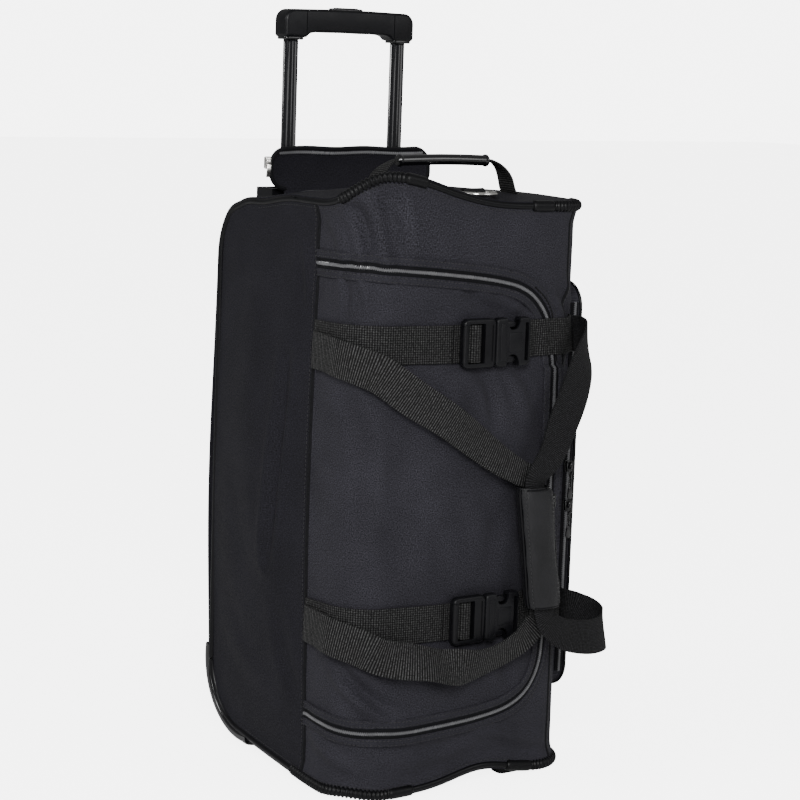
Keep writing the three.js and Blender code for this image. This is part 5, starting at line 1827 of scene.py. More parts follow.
# ---- Handles ----
@dataclass
class CarryHandles:
    """The two soft carry handles and the leather wrap that holds them together."""

    bench: Workbench
    shell: SoftShell
    wrap_top: tuple[float, float, float] = (57.0, -160.0, 321.0)
    wrap_bottom: tuple[float, float, float] = (75.0, -160.0, 192.0)
    wrap_half: tuple[float, float] = (20.0, 13.5)
    wrap_wall: float = 2.2

    def build(self) -> None:
        """Builds both handles and the wrap."""
        self.build_near()
        self.build_far()
        self.build_wrap()

    def grip(self, y: float) -> list[Knot]:
        """The stations of a handle inside the wrap, from its top."""
        top, low = np.array(self.wrap_top), np.array(self.wrap_bottom)
        stations = []
        for share in (-0.06, 0.12, 0.5, 0.88, 1.06):
            x, _, z = top + (low - top) * share
            stations.append(Knot((x, y, z), (0, -1, 0), 24))
        return stations

    def on_side(self, s: float, z: float, lift: float, width: float = 38.0) -> Knot:
        """A station that lies over the bag's side."""
        form = self.shell.form
        place = form.on(np.array(s), np.array(z), lift)
        face = form.normals(np.array(s), np.array(z))
        return Knot(tuple(place), tuple(face), width)

    def build_near(self) -> None:
        """Builds the handle from the near side, across the lid and back."""
        upper = [self.on_side(192.5, 459, 5.2), self.on_side(214, 458.5, 6.0), self.on_side(240, 455, 7.6),
                 self.on_side(262, 450, 8.6), self.on_side(284, 441, 9.2), self.on_side(318, 418, 11),
                 self.on_side(352, 396, 14, 36), Knot((-12, -151.5, 371), (0.05, -1, 0.1), 35),
                 Knot((18, -154.5, 350), (0.1, -1, 0.25), 32), Knot((42, -156.5, 336), (0.1, -1, 0.2), 27)]
        lower = [Knot((70, -156, 172), (0, -1, 0.1), 27), Knot((52, -157, 157), (-0.1, -1, -0.3), 31),
                 Knot((24, -157, 145), (-0.1, -1, -0.5), 35), Knot((-8, -157, 139), (0.1, -1, -0.3), 37),
                 Knot((-38, -156, 141), (0.0, -1, 0.5), 37), Knot((-64, -156, 148), (-0.2, -1, 0.75), 37),
                 self.on_side(296, 157, 13), self.on_side(272, 165, 9.6), self.on_side(240, 172, 7.6),
                 self.on_side(214, 176, 6.0), self.on_side(192.5, 177, 5.2)]
        shape = ribbon(upper + self.grip(-155.5) + lower, 2.2, 10, cup=0.5)
        self.bench.place("near_handle", shape, WEBBING_RIBBED, "near_handle", "near_handle")

    def build_far(self) -> None:
        """Builds the handle from the far side, with its open loops above and below the wrap."""
        upper = [Knot((149.4, -99, 468), (1, -0.1, 0)), Knot((149.8, -114, 468), (0.9, -0.4, 0)),
                 Knot((141, -134, 463), (0.65, -0.75, 0)), Knot((127, -147, 444), (0.3, -0.95, 0), 40),
                 Knot((112, -154, 416), (0.1, -1, 0), 41), Knot((95, -159, 386), (0.0, -1, 0), 39),
                 Knot((78, -163, 354), (0.0, -1, 0.1), 32)]
        lower = [Knot((84, -166, 172), (0, -1, 0), 27), Knot((104, -168, 160), (0, -1, 0.1), 33),
                 Knot((134, -168, 154), (0.1, -1, 0.2), 36), Knot((161, -158, 153), (0.6, -0.8, 0.2), 37),
                 Knot((173, -140, 157), (1, -0.2, 0.1)), Knot((168, -124, 164), (0.8, 0.6, 0.0)),
                 Knot((157, -114, 170), (0.75, 0.3, 0)), Knot((151, -106, 171), (1, 0, 0)),
                 Knot((149.4, -99, 171), (1, -0.1, 0))]
        grip = self.grip(-164.5)
        shape = ribbon(upper + grip + lower, 2.2, 10, cup=0.4)
        self.bench.place("far_handle", shape, WEBBING_DARK, "far_handle", "far_handle")

    def wrap_point(self, angle: Array, share: Array, out: float | Array) -> tuple[Array, Array]:
        """Points round the wrap.

        Args:
            angle: angles from +X, in degrees; -90 faces front.
            share: from 0 at the top to 1 at the bottom.
            out: distances outside its surface.

        Returns:
            The points and their normals.
        """
        top, low = np.array(self.wrap_top), np.array(self.wrap_bottom)
        angle, share = np.broadcast_arrays(np.radians(angle), share)
        waist = 1 - 0.05 * np.sin(share * math.pi) - 0.10 * (np.abs(share - 0.5) * 2) ** 10
        a, b = self.wrap_half
        middle = top + (low - top) * share[..., None]
        square = 0.86
        cosine = np.sign(np.cos(angle)) * np.abs(np.cos(angle)) ** square
        sine = np.sign(np.sin(angle)) * np.abs(np.sin(angle)) ** square
        normal = unit(np.stack([cosine / a, sine / b, np.zeros_like(cosine)], axis=-1))
        place = middle + np.stack([cosine * a * waist, sine * b * waist, np.zeros_like(cosine)], axis=-1)
        return place + normal * np.asarray(out)[..., None] if np.ndim(out) else place + normal * out, normal

    def build_wrap(self) -> None:
        """Builds the padded leather wrap: its shell, the flap closed over its front, edges and stitches."""
        share = np.linspace(0, 1, 70)[:, None]
        angle = np.linspace(-62, 292, 72)[None]
        points, normals = self.wrap_point(angle, share, 0.0)
        ridge = 0.5 * np.sin(share * 23.0) * np.exp(-((angle - 180) / 70) ** 2)
        points = points + normals * ridge[..., None]
        shell = slab(points, self.wrap_wall, normals=normals)
        piece = self.bench.place("handle_wrap", shell, LEATHER, "near_handle", "handle_wrap")
        self.build_flap()

    def build_flap(self) -> None:
        """Builds the flap, its bound edges and its stitch rows."""
        across = np.linspace(0, 1, 44)
        angle = -158 + 128 * across
        from_right = (1 - across) * 50
        corner = 9.0
        arc = np.sqrt(np.maximum(corner**2 - (corner - from_right) ** 2, 0))
        pull_in = np.where(from_right < corner, corner - arc, 0)
        length = 130.0
        rows = np.linspace(0, 1, 60)[:, None]
        low, high = 0.015 + pull_in / length, 0.985 - pull_in / length
        share = low + (high - low) * rows
        lift = 1.6 + 0.5 * np.sin(share * 9) * across**2
        points, normals = self.wrap_point(np.broadcast_to(angle, share.shape), share, lift)
        flap = slab(points, 1.5, normals=normals)
        piece = self.bench.place("handle_wrap_flap", flap, LEATHER, "near_handle")
        sewn, edges = Stock(), Stock()
        for column, inset in ((38, 0.045), (5, 0.03)):
            line = np.linspace(inset, 1 - inset, 60)
            path, out = self.wrap_point(np.full(60, angle[column]), line, 2.3)
            sewn.merge(stitches(path, out, 4.6, 3.3, 0.5))
        rim, _ = self.wrap_point(np.broadcast_to(angle, share.shape), share, 1.2)
        border = np.concatenate([rim[0, 6:], rim[1:-1, -1], rim[-1, 6:][::-1]])
        edges.merge(tube(resample(border, 2.0), 1.05, 8, hint=(0, -1, 0.3)))
        rolled, _ = self.wrap_point(np.full(60, -170.0), np.linspace(0.01, 0.99, 60), 0.6)
        edges.merge(tube(rolled, 1.7, 10, hint=(0, -1, 0)))
        self.bench.place("handle_wrap_edges", edges, PIPING_VINYL, "near_handle")
        self.bench.place("handle_wrap_stitching", sewn, THREAD, "near_handle")


@dataclass
class TopFittings:
    """What stands on the top: the grab handle, the D-ring with its tab and the strip of coarse zip."""

    bench: Workbench
    shell: SoftShell
    bar_y: float = -60.0
    bar_z: float = 648.0
    half: float = 57.0

    def build(self) -> None:
        """Builds the fittings on the top."""
        self.build_grab_handle()
        self.build_d_ring()
        self.build_top_zip()

    def top_at(self, x: float | Array, y: float | Array) -> Array:
        """Points of the top's surface."""
        x, y = np.broadcast_arrays(np.asarray(x, float), np.asarray(y, float))
        return self.shell.form.warp(np.stack([x, y, np.full(x.shape, self.shell.form.top)], axis=-1))

    def build_grab_handle(self) -> None:
        """Builds the web that rises from both feet into the tube."""
        y, bar = self.bar_y, self.bar_z
        knots = []
        for sign in (-1, 1):
            ground = float(self.top_at(sign * 92, y)[2])
            outer = [Knot((sign * 106, y, ground + 1.2), (0, 0, 1), 27),
                     Knot((sign * 93, y, ground + 1.8), (0, 0, 1), 27),
                     Knot((sign * 86, y, ground + 6), (sign * 0.6, 0, 0.8), 26),
                     Knot((sign * 80.5, y, ground + 20), (sign * 0.95, 0, 0.3), 24),
                     Knot((sign * 73, y, bar - 7), (sign * 0.75, 0, 0.65), 17),
                     Knot((sign * 62, y, bar - 0.5), (sign * 0.2, 0, 1), 9.0),
                     Knot((sign * 50, y, bar), (0, 0, 1), 7.0)]
            knots += outer if sign < 0 else outer[::-1]
        web = self.bench.dress(self.bench.mesh("grab_handle_web", ribbon(knots, 2.0, 10, cup=0.4)), WEBBING)
        ground = float(self.top_at(0, y)[2])
        start = self.bench.metres(np.array([0, y, ground + 4.0]))
        end = self.bench.metres(np.array([0, y, bar - 6.0]))
        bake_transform(web)
        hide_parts("grab_handle_web")
        self.bench.count += 1
        path = np.stack([np.linspace(-self.half, self.half, 90), np.full(90, y), np.full(90, bar)], axis=1)
        path[:, 2] += 1.2 * np.cos(path[:, 0] / self.half * math.pi / 2)
        radius = 5.6 * np.clip(0.75 + (self.half - np.abs(path[:, 0])) / 7, 0, 1)
        sleeve = tube(path, radius, 22, hint=(0, 1, 0))
        for sign in (-1, 1):
            x = sign * (self.half - np.array([5.0, 3.6, 2.6, 1.6, 0.4]))
            collar = np.stack([x, np.full(5, y), np.full(5, bar + 0.1)], axis=1)
            sleeve.merge(tube(collar, np.array([5.7, 6.4, 6.5, 6.3, 5.2]), 22, hint=(0, 1, 0)))
        self.bench.place("grab_handle_sleeve", sleeve, GLOSS, "grab_handle", "grab_handle_sleeve", sharp=50)
        sewn = Stock()
        for sign in (-1, 1):
            for dx in (91.0, 103.0):
                ys = np.linspace(y - 10, y + 10, 8)
                pts = self.top_at(sign * dx, ys) + (0, 0, 2.6)
                sewn.merge(stitches(pts, np.tile([0.0, 0, 1], (8, 1)), 3.6, 2.8, 0.45))
        self.bench.place("grab_handle_stitching", sewn, THREAD, "root")

    def build_d_ring(self) -> None:
        """Builds the nickel D-ring and its folded tab."""
        x, y, z, half, wire, reach = 28.0, -76.0, 616.0, 20.0, 2.3, 6.0
        t = np.linspace(math.pi, 2 * math.pi, 30)
        bow = np.stack([x + half * np.cos(t), y - reach + half * np.sin(t), np.full(30, z)], axis=1)
        bar = np.stack([np.linspace(x + half, x - half, 14), np.full(14, y), np.full(14, z)], axis=1)
        loop = np.concatenate([bow, [(x + half, y - 2, z)], bar[1:-1], [(x - half, y - 2, z)]])
        loop = resample_loop(loop, 1.6)
        self.bench.place("d_ring", tube(loop, wire, 12, closed=True, hint=(0, 0, 1)), SILVER, "d_ring", "d_ring")
        face = [(y + 30, z - 3.8, 0, 1), (y + 12, z - 2.9, 0, 1), (y + 3.5, z + 2.2, -0.4, 1),
                (y - 0.5, z + 3.9, 0, 1), (y - 4.0, z, -1, 0), (y - 0.5, z - 3.9, 0, -1),
                (y + 5, z - 5.6, 0, -1), (y + 14, z - 5.4, 0, -1)]
        knots = [Knot((x, a, b), (0, c, d), 26) for a, b, c, d in face]
        self.bench.place("d_ring_tab", ribbon(knots, 1.7, 8), WEBBING_DARK, "root", "d_ring_tab")

    def build_top_zip(self) -> None:
        """Builds the coarse zip that runs round the back of the top."""
        knots = np.array([(-141, -16), (-128, 22), (-108, 56), (-84, 78), (-60, 86), (0, 90), (60, 88), (100, 76),
                          (126, 40), (138, 0)], float)
        line = resample(spline(knots, 14), 2.6)
        points = self.top_at(line[:, 0], line[:, 1])
        zip_line = ZipLine(points, np.tile([0.0, 0, 1], (len(points), 1)), 2.8, 0.95, 2.6)
        tape = zip_line.ribbon(4.6, 8.4, 0.8, 0.1).merge(zip_line.ribbon(-4.6, 8.4, 0.8, 0.1))
        self.bench.place("top_zip_tape", tape, TAPE, "root")
        coil = zip_line.teeth(1, 0.8).merge(zip_line.teeth(-1, 0.8))
        self.bench.place("top_zip_coil", coil, COIL, "root")


# ---- The trolley ----
@dataclass
class Trolley:
    """The telescopic handle: its tubes, grip, release button and mount."""

    bench: Workbench
    spacing: float = 138.0
    y: float = 130.0
    half: float = 83.0

    def build(self) -> None:
        """Builds the moving parts and dresses the mount."""
        self.build_tubes()
        self.build_grip()
        self.build_button()
        self.dress_mount()

    def tube_section(self) -> Array:
        """The inner tube's outline, with a shallow groove down each narrow side."""
        half = np.array([(7.5, -2.6), (7.5, -1.5), (6.7, -0.9), (6.7, 0.9), (7.5, 1.5), (7.5, 2.6), (7.1, 3.8),
                         (5.9, 4.5), (2.2, 4.5), (1.4, 4.1), (-1.4, 4.1), (-2.2, 4.5), (-5.9, 4.5), (-7.1, 3.8)])
        return np.concatenate([half, half * -1])

    def build_tubes(self) -> None:
        """Builds the two grooved inner tubes."""
        for side in Side:
            x = side.value * self.spacing / 2
            path = np.array([(x, self.y, z) for z in (285.0, 286.0, 400, 600, 770.0, 771.0)])
            across = np.tile([1.0, 0, 0], (6, 1))
            out = np.tile([0, 1.0, 0], (6, 1))
            section = self.tube_section()[None] * np.array([0.9, 1, 1, 1, 1, 0.9])[:, None, None]
            name = f"inner_tube_{side.word}"
            self.bench.place(name, sweep(path, across, out, section), TUBE, "trolley", name, sharp=30)
            collar = prism(rounded_rect(24, 17, 4.5, 5) + (x, self.y), 562.4, 567.0, 1.2, "z", 3)
            hole = prism(rounded_rect(15.8, 9.8, 2.5, 4) + (x, self.y), 555, 575, 0, "z")
            self.bench.place_cut(f"tube_collar_{side.word}", collar, [hole], GLOSS, "root")

    def grip_outline(self, inset: float = 0.0) -> Array:
        """The grip's outline from the front."""
        w, top, low, belly = self.half - inset, 798.0 - inset, 768.0 + inset, 772.5 + inset
        right = spline(np.array([(0, belly + 1.8), (22, belly + 1.5), (40, belly + 1.6), (50, belly + 0.2),
                                 (55, low + 1.0), (59, low)]), 8)
        right = np.concatenate([right, [(72, low), (w - 4, low)]])
        angle = np.linspace(-math.pi / 2, 0, 6)[1:]
        foot = np.stack([w - 4 + 4 * np.cos(angle), low + 4 + 4 * np.sin(angle)], axis=1)
        angle = np.linspace(0, math.pi / 2, 10)
        shoulder = np.stack([w - 12 + 12 * np.cos(angle), top - 12 + 12 * np.sin(angle)], axis=1)
        crown = np.array([(50, top + 0.4), (25, top + 0.9)])
        half = np.concatenate([right, foot, shoulder, crown])
        return np.concatenate([half, half[1:][::-1] * (-1, 1)])

    def build_grip(self) -> None:
        """Builds the grip with its end caps' joint lines and the button's recess."""
        body = prism(self.grip_outline(), self.y - 12.2, self.y + 12.2, 5.0, "y", 6)
        cutters = [block((-21.2, 21.2), (self.y - 7.2, self.y + 7.2), (778, 820), 1.5, 3),
                   block((-73.5, 73.5), (self.y - 3.4, self.y + 3.4), (777.5, 787.2), 0, 1)]
        for side in Side:
            x = side.value * 56.5
            for y0, y1, z0, z1 in ((-15, -11.4, 760, 805), (11.4, 15, 760, 805), (-15, 15, 797.4, 805)):
                cutters.append(block((x - 0.5, x + 0.5), (self.y + y0, self.y + y1), (z0, z1), 0, 1))
            socket = side.value * self.spacing / 2
            cutters.append(block((socket - 7.8, socket + 7.8), (self.y - 4.8, self.y + 4.8), (755, 771.3), 0, 1))
        self.bench.place_cut("trolley_grip", body, cutters, PLASTIC, "trolley", "trolley_grip")
        for side in Side:
            x = side.value * self.spacing / 2
            skirt = prism(rounded_rect(25, 19, 5, 5) + (x + side.value * 0.5, self.y), 765.6, 769.4, 1.2, "z", 3)
            hole = prism(rounded_rect(15.6, 9.6, 2.5, 4) + (x, self.y), 760, 775, 0, "z")
            self.bench.place_cut(f"grip_skirt_{side.word}", skirt, [hole], GLOSS, "trolley")

    def build_button(self) -> None:
        """Builds the button that frees the tubes, with its finger ridges, and the yoke under it."""
        cap = prism(rounded_rect(40.4, 12.6, 5.0, 8) + (0, self.y), 784, 800.6, 1.8, "z", 4)
        for k in range(-3, 4):
            cap.merge(block((k * 4.2 - 0.7, k * 4.2 + 0.7), (self.y - 4.2, self.y + 4.2), (799.6, 801.3), 0.4, 2))
        cap.merge(block((-72, 72), (self.y - 2.8, self.y + 2.8), (783, 786.3), 0.5, 2))
        self.bench.place("grip_button", cap, GLOSS, "release", "grip_button")

    def dress_mount(self) -> None:
        """Dresses the tubes, housing and boards that the frame already models."""
        for side in Side:
            self.bench.keep(f"outer_tube_{side.word}", TUBE, 0.3)
            self.bench.keep(f"push_rod_{side.word}", STEEL, 0.2)
        self.bench.keep("handle_housing", PLASTIC, 1.6)
        self.bench.keep("back_board", BOARD, 0.5)
        self.bench.keep("bottom_bracket", PLASTIC, 0.8)


# ---- Wheels and feet ----
@dataclass
class WheelSet:
    """One wheel with its tyre, spoked hub and axle, in its moulded corner housing."""

    bench: Workbench
    side: Side
    centre: tuple[float, float] = (98.0, 32.0)
    corner: tuple[float, float] = (70.0, 95.0)
    x: float = 116.0
    half: float = 11.0

    def build(self) -> None:
        """Builds the housing, the wheel and the axle."""
        self.build_housing()
        self.build_wheel()
        self.build_axle()

    def middle(self) -> tuple[float, float, float]:
        """The wheel's middle."""
        return (self.side.value * self.x, *self.centre)

    def build_housing(self) -> None:
        """Builds the shell that caps the bag's low corner and the well that the wheel turns in."""
        sign = self.side.value
        cy, cz = self.corner
        angle = np.radians(np.linspace(-99, 9, 90))
        out = np.stack([np.zeros(90), np.cos(angle), np.sin(angle)], axis=1)
        path = np.array([sign * 121.5, cy, cz]) + out * 74.4
        across = np.tile([1.0, 0, 0], (90, 1))
        plate = rounded_rect(51, 4.8, 2.2, 4)
        lip = rounded_rect(7.0, 9.0, 3.2, 6) + (sign * 24.0, 0.2)
        name = f"wheel_housing_{self.side.word}"
        room = lathe([(-14, 3.4), (14, 3.4), (14, 35.5), (-14, 35.5)], self.middle(), 64)
        shell = sweep(path, across, out, plate)
        self.bench.place_cut(name, shell, [room], GLOSS, "root", name)
        self.bench.place(f"{name}_lip", sweep(path, across, out, lip), GLOSS, "root")
        d = 17.5
        drum = lathe([(-d, 3.4), (-d, 39), (d, 39), (d, 3.4), (d - 3.5, 3.4), (d - 3.5, 35.5), (-d + 3.5, 35.5),
                      (-d + 3.5, 3.4)], self.middle(), 72)
        beyond = lathe([(-40, 76.6), (40, 76.6), (40, 170), (-40, 170)], (sign * self.x, cy, cz), 96)
        self.bench.place_cut(f"{name}_well", drum, [beyond], PLASTIC, "root")

    def build_wheel(self) -> None:
        """Builds the grooved tyre and the spoked hub."""
        h = self.half
        name = f"wheel_{self.side.word}"
        tread = [(-h + 1.0, 21), (-h, 23), (-h, 27), (-h + 1.2, 29.6), (-h + 3.2, 31.2), (-4.2, 31.9),
                 (-3.6, 30.8), (-3.0, 30.8), (-2.4, 32), (2.4, 32), (3.0, 30.8), (3.6, 30.8), (4.2, 31.9),
                 (h - 3.2, 31.2), (h - 1.2, 29.6), (h, 27), (h, 23), (h - 1.0, 21)]
        self.bench.place(name, lathe(tread, self.middle(), 84), RUBBER, name, name, sharp=50)
        rim = lathe([(-h + 1.4, 18), (-h + 1.4, 22), (h - 1.4, 22), (h - 1.4, 18)], self.middle(), 72)
        rim.merge(lathe([(-h + 0.4, 3.4), (-h + 0.4, 7.6), (-h + 1.4, 8.6), (h - 1.4, 8.6), (h - 0.4, 7.6),
                         (h - 0.4, 3.4)], self.middle(), 48))
        x0, y0, z0 = self.middle()
        for k in range(6):
            turn = k * math.pi / 3
            spoke = block((-6.5, 6.5), (-2.2, 2.2), (7.5, 18.8), 0.9, 3)
            cosine, sine = math.cos(turn), math.sin(turn)
            rotate = np.array([(1, 0, 0), (0, cosine, sine), (0, -sine, cosine)])
            spoke.points = [p @ rotate + (x0, y0, z0) for p in spoke.points]
            rim.merge(spoke)
        web = lathe([(-1.5, 8), (-1.5, 18.6), (1.5, 18.6), (1.5, 8)], self.middle(), 48)
        rim.merge(web)
        self.bench.place(f"{name}_hub", rim, PLASTIC, name)

    def build_axle(self) -> None:
        """Builds the axle with its domed heads."""
        name = f"axle_{self.side.word}"
        d = 16.0
        shape = lathe([(-d, 0.3), (-d, 3.0), (d, 3.0), (d, 0.3)], self.middle(), 32)
        for sign in (-1, 1):
            a, b = sorted((sign * 17.6, sign * 20.0))
            flat = [(a, 0.3), (a, 5.4), ((a + b) / 2, 5.6), (b, 4.8), (b, 0.3)]
            shape.merge(lathe(flat, self.middle(), 32))
        self.bench.place(name, shape, STEEL, "root", name)


@dataclass
class Feet:
    """The two rubber feet under the bag's front."""

    bench: Workbench
    x: float = 78.0

    def build(self) -> None:
        """Builds both feet, each a rounded block on a wider base."""
        for side in Side:
            outline = rounded_rect(34, 20, 7, 8) + (side.value * self.x, -110)
            shape = prism(outline, 0.0, 8.0, 2.2, "z", 4)
            base = prism(rounded_rect(40, 26, 8, 8) + (side.value * self.x, -110), 5.4, 9.5, 1.4, "z", 3)
            shape.merge(base)
            name = f"foot_{side.word}"
            self.bench.place(name, shape, RUBBER, "root", name)


# ---- The pocket on the far side ----
@dataclass
class SidePocket:
    """The stuffed outer pocket with its zip and chain pulls."""

    bench: Workbench
    shell: SoftShell
    y: tuple[float, float] = (-88.0, 96.0)
    z: tuple[float, float] = (74.0, 519.0)
    radius: float = 26.0
    zip_x: float = 160.0

    def ring(self, inset: float) -> Array:
        """The pocket's outline brought in by an inset."""
        width, height = self.y[1] - self.y[0] - 2 * inset, self.z[1] - self.z[0] - 2 * inset
        outline = rounded_rect(max(width, 0.1), max(height, 0.2), max(self.radius - inset * 0.6, 0.04), 8)
        dense = []
        closed = np.concatenate([outline, outline[:1]])
        for a, b in zip(closed[:-1], closed[1:]):
            dense.append(a + (b - a) * np.linspace(0, 1, 7)[:-1, None])
        middle = ((self.y[0] + self.y[1]) / 2, (self.z[0] + self.z[1]) / 2)
        return np.concatenate(dense) + middle

    def build(self) -> None:
        """Builds the pocket's shell, its piping, zip and pulls."""
        wall = [(0.6, 141.0), (0.2, 146.0), (-0.8, 150.0), (-0.9, 153.0), (0.2, 154.8), (1.0, 155.6),
                (1.2, 160), (1.0, 164.4), (0.2, 165.2), (-0.4, 166.6), (0.2, 168.4), (2.0, 170.4),
                (4.6, 171.9), (8.5, 173.0)]
        face = np.array([(14, 173.8), (22, 174.6), (32, 175.4), (44, 176.0), (58, 176.4), (74, 176.4),
                         (91.9, 176.2)])
        fine = np.append(np.arange(14.0, 90.0, 4.0), 91.9)
        profile = wall + list(zip(fine, np.interp(fine, face[:, 0], face[:, 1])))
        rings = []
        for inset, x in profile:
            yz = self.ring(inset)
            yz = np.concatenate([yz, yz[:1]])
            ripple = 1.6 * np.sin(yz[:, 1] / 27 + yz[:, 0] / 40) * np.sin(yz[:, 0] / 19 + 1.3)
            sag = -2.2 * np.exp(-((yz[:, 1] - 450) / 60) ** 2) + 1.5 * np.exp(-((yz[:, 1] - 160) / 80) ** 2)
            share = min(max((inset - 2) / 20, 0), 1)
            rings.append(np.column_stack([x + (ripple + sag) * share, yz]))
        outer = np.array(rings)
        normals = grid_normals(outer)
        if normals[-4, :, 0].mean() < 0:
            outer = outer[:, ::-1]
        cloth = np.stack([outer[..., 1], outer[..., 2]], axis=-1)
        piece = self.bench.place("pocket_shell", slab(outer, 2.2, cloth), CANVAS, "root", "pocket_shell",
                                 merge=0.12)
        self.build_edges()
        self.build_zip()

    def build_edges(self) -> None:
        """Builds the piping at the pocket's foot and along its face's edge."""
        form = self.shell.form
        base = self.ring(-1.6)
        s = np.array([form.s_far(float(y)) for y in base[:, 0]])
        foot = form.on(s, base[:, 1], 0.8)
        rim = np.column_stack([np.full(len(base), 168.2), self.ring(-0.4)])
        shape = tube(resample_loop(foot, 3), 2.0, 10, closed=True, hint=(1, 0.1, 0.1))
        shape.merge(tube(resample_loop(rim, 3), 1.9, 10, closed=True, hint=(1, 0.1, 0.1)))
        self.bench.place("pocket_piping", shape, PIPING_VINYL, "root")

    def build_zip(self) -> None:
        """Builds the zip on the pocket's front wall with its two sliders."""
        z = np.linspace(self.z[0] + 20, self.z[1] - 20, 170)
        points = np.stack([np.full(170, self.zip_x), np.full(170, self.y[0] - 0.2), z], axis=1)
        line = ZipLine(points, np.tile([0, -1.0, 0], (170, 1)))
        tape = line.ribbon(2.9, 4.6, 0.9, 0.3).merge(line.ribbon(-2.9, 4.6, 0.9, 0.3))
        self.bench.place("pocket_zip_tape", tape, TAPE, "root", "pocket_zip")
        coil = line.teeth(1, 1.2).merge(line.teeth(-1, 1.2))
        self.bench.place("pocket_zip_coil", coil, COIL, "root")
        for word, height in (("upper", 322.0), ("lower", 279.0)):
            Slider(self.bench, f"pocket_slider_{word}", f"pocket_pull_{word}",
                   np.array([self.zip_x, self.y[0] - 0.8, height]), np.array([0, -1.0, 0]), np.array([0, 0, 1.0]),
                   PullStyle(length=36, width=6.4, links=4)).build()


# ---- The flap beside the trolley ----
@dataclass
class TrolleyFlap:
    """The stiff curved flap that covers the trolley's housing, with its bound edge and slider."""

    bench: Workbench
    x: tuple[float, float] = (-106.0, 98.0)
    z: tuple[float, float] = (608.6, 651.0)
    y: float = 105.5
    corner: float = 18.0

    def point(self, u: Array, z: Array) -> Array:
        """Points of the flap's curved sheet.

        Args:
            u: from -1 to 1 across it.
            z: heights.

        Returns:
            The points.
        """
        u, z = np.broadcast_arrays(np.asarray(u, float), np.asarray(z, float))
        middle, half = (self.x[0] + self.x[1]) / 2, (self.x[1] - self.x[0]) / 2
        from_end = np.minimum(z - self.z[0], self.z[1] - z)
        short = np.clip(self.corner - from_end, 0, self.corner)
        reach = half - (self.corner - np.sqrt(self.corner**2 - short**2))
        v = (z - self.z[0]) / (self.z[1] - self.z[0])
        y = self.y + 3.5 * np.sin(v * math.pi) * (1 - u**4) - 4.0 * u**4 + 1.6 * v
        wave = 1.2 * np.sin(u * 7.0) * v
        return np.stack([middle + u * reach, y + wave * 0.5, z + wave * (v > 0.5) * 0.5], axis=-1)

    def build(self) -> None:
        """Builds the sheet, its binding, the zip on its edge, its hinge and its slider."""
        rise = (1 - np.cos(np.linspace(0, math.pi, 34))) / 2
        z = self.z[0] + (self.z[1] - self.z[0]) * rise[:, None]
        grid = self.point(np.linspace(-1, 1, 110)[None], z)
        cloth = np.stack([grid[..., 0], grid[..., 2]], axis=-1)
        piece = self.bench.place("trolley_flap", slab(grid, 2.4, cloth), CANVAS_PAINTED_SHADE, "trolley_flap",
                                 "trolley_flap")
        left, right = grid[:, 0], grid[:, -1]
        border = np.concatenate([left, grid[-1, 1:-1], right[::-1]])
        border = resample(border, 2.0) + (0, 1.2, 0)
        self.bench.place("flap_binding", tube(border, 2.5, 12, hint=(0.1, 1, 0)), BINDING, "trolley_flap")
        inner = self.point(np.linspace(-0.96, 0.96, 120), np.full(120, self.z[1] - 4.6)) - (0, 0.6, 0)
        inner = resample(inner, 2.4)
        line = ZipLine(inner, np.tile([0, -1.0, 0], (len(inner), 1)), pitch=2.6, tooth=0.8)
        coil = line.teeth(1, 0.6).merge(line.teeth(-1, 0.6))
        self.bench.place("flap_coil", coil, COIL, "trolley_flap")
        foot = np.linspace(-0.97, 0.97, 80)
        base = self.point(foot, np.full(80, self.z[0] + 0.5))
        rows = np.array([base + (0, back, drop) for drop, back in ((-12, -10), (-9, -5), (-4, -1.5), (0, 0))])
        hinge = slab(rows, 2.0, rows[..., [0, 2]])
        piece = self.bench.place("flap_hinge", hinge, CANVAS_PAINTED_SHADE, "root")
        x, y, zs = -108.5, 103.5, 636.0
        shape = block((x - 5, x + 3.0), (y - 1.4, y + 3.4), (zs - 6.5, zs + 6.5), 1.6, 4)
        shape.merge(block((x - 3.6, x + 1.4), (y - 2.8, y - 0.8), (zs - 3.4, zs + 3.4), 1.0, 3))
        tag = spline(np.array([(x - 1, y - 2.6, zs - 2), (x - 2, y - 3.2, zs - 8),
                               (x - 2.4, y - 2.6, zs - 15)]), 6)
        across, out = frames(tag, (1, 0, 0))
        shape.merge(sweep(tag, across, out, rounded_rect(5.0, 1.6, 0.7, 3)))
        self.bench.place("flap_slider", shape, SILVER, "trolley_flap", "flap_slider")


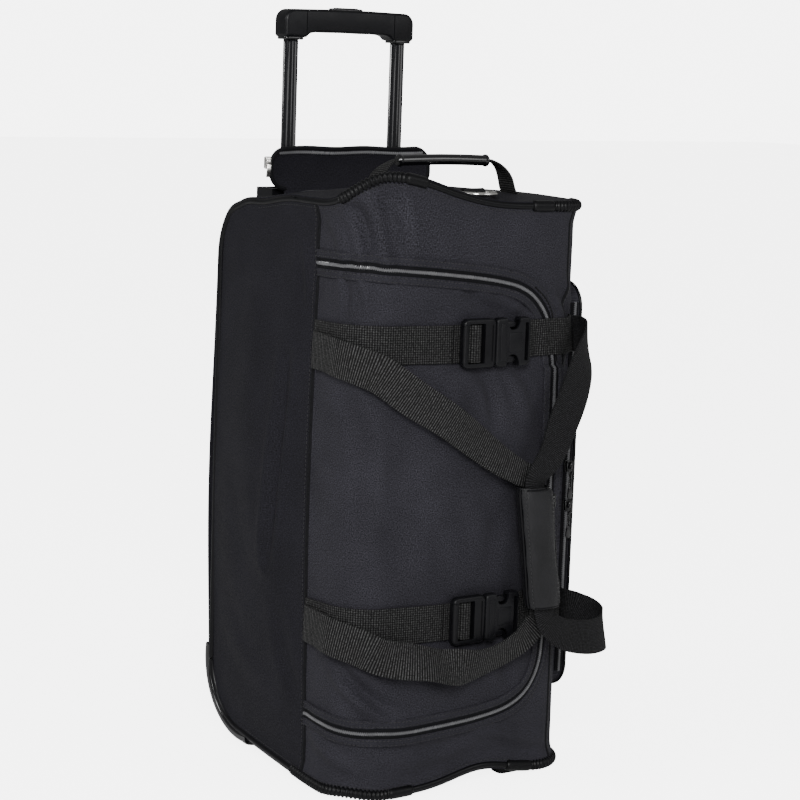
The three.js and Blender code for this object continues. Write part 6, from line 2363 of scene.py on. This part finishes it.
# ---- Stage ----
@dataclass
class Studio:
    """The plain floor, the soft light and the camera."""

    turn: float = -34.9
    pitch: float = 9.0
    roll: float = 1.97
    distance: float = 2.342
    lens: float = 98.9
    aim: tuple[float, float] = (-1.1, 390.3)

    def build(self, origin: Array) -> None:
        """Builds the floor, the lights and the camera.

        Args:
            origin: the body's middle in the frame, in metres.
        """
        self.build_floor()
        self.build_lights()
        self.build_camera(origin)

    def build_floor(self) -> None:
        """Builds a plain pale floor."""
        sketch = NodeSketch("studio_floor")
        seen = sketch.add("ShaderNodeLightPath").outputs["Is Camera Ray"]
        sketch.set(Base_Color=(0.92, 0.92, 0.92, 1.0), Roughness=0.9, Specular_IOR_Level=0.1,
                   Emission_Color=(1.0, 1.0, 1.0, 1.0), Emission_Strength=sketch.math("MULTIPLY", seen, 5.0))
        data = bpy.data.meshes.new("studio_floor")
        size = 14.0
        corners = [(-size, -size, 0), (size, -size, 0), (size, size, 0), (-size, size, 0)]
        data.from_pydata(corners, [], [(0, 1, 2, 3)])
        floor = bpy.data.objects.new("studio_floor", data)
        data.materials.append(sketch.material)
        bpy.context.scene.collection.objects.link(floor)

    def build_lights(self) -> None:
        """Builds the soft boxes and an even white surround."""
        world = bpy.data.worlds.new("surround")
        world.use_nodes = True
        tree = world.node_tree
        sky = tree.nodes["Background"]
        sky.inputs[0].default_value = (1.0, 1.0, 1.0, 1.0)
        seen = tree.nodes.new("ShaderNodeLightPath").outputs["Is Camera Ray"]
        level = tree.nodes.new("ShaderNodeMapRange")
        level.inputs["To Min"].default_value = 0.3
        level.inputs["To Max"].default_value = 6.0
        tree.links.new(seen, level.inputs["Value"])
        tree.links.new(level.outputs[0], sky.inputs[1])
        bpy.context.scene.world = world
        for name, place, aim, size, power in (
                ("key_light", (-1.7, -2.4, 1.7), (0, 0, 0.42), 1.0, 105),
                ("front_light", (1.4, -2.6, 1.6), (0, 0, 0.45), 1.4, 22),
                ("side_light", (-3.0, 0.2, 2.0), (0, 0, 0.45), 1.2, 48)):
            data = bpy.data.lights.new(name, "AREA")
            data.size = size
            data.energy = power
            light = bpy.data.objects.new(name, data)
            light.location = place
            light.rotation_euler = (Vector(aim) - Vector(place)).to_track_quat("-Z", "Y").to_euler()
            bpy.context.scene.collection.objects.link(light)

    def build_camera(self, origin: Array) -> None:
        """Builds the camera that looks at the bag's near front corner."""
        turn, pitch, roll = (math.radians(v) for v in (self.turn, self.pitch, self.roll))
        back = Vector((math.sin(turn) * math.cos(pitch), -math.cos(turn) * math.cos(pitch), math.sin(pitch)))
        right = Vector((math.cos(turn), math.sin(turn), 0))
        up = back.cross(right)
        place = Vector(origin) + Vector((0, 0, self.aim[1] * MM)) + back * self.distance + right * self.aim[0] * MM
        level, tilted = right * math.cos(roll) + up * math.sin(roll), up * math.cos(roll) - right * math.sin(roll)
        data = bpy.data.cameras.new("main_camera")
        data.lens = self.lens
        data.sensor_width = 36
        data.clip_end = 50
        camera = bpy.data.objects.new("main_camera", data)
        camera.matrix_world = Matrix((level, tilted, back)).transposed().to_4x4()
        camera.location = place
        bpy.context.scene.collection.objects.link(camera)
        bpy.context.scene.camera = camera


def main() -> None:
    """Builds every sub-assembly in order and dresses the frame's own nodes."""
    logging.basicConfig(level=logging.INFO, format="%(levelname)s %(message)s")
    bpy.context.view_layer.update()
    bench = Workbench()
    form = BagForm(creases=CREASES)
    form.settle()
    shell = SoftShell(bench, form)
    shell.build()
    MainZip(bench, shell).build()
    CompressionStrap(bench, shell, "upper", UPPER_STRAP).build()
    CompressionStrap(bench, shell, "lower", LOWER_STRAP).build()
    CarryHandles(bench, shell).build()
    TopFittings(bench, shell).build()
    Trolley(bench).build()
    for side in Side:
        WheelSet(bench, side).build()
    Feet(bench).build()
    SidePocket(bench, shell).build()
    TrolleyFlap(bench).build()
    Studio().build(bench.origin)
    LOG.info("%d pieces made", bench.count)


if __name__ == "__main__":
    main()
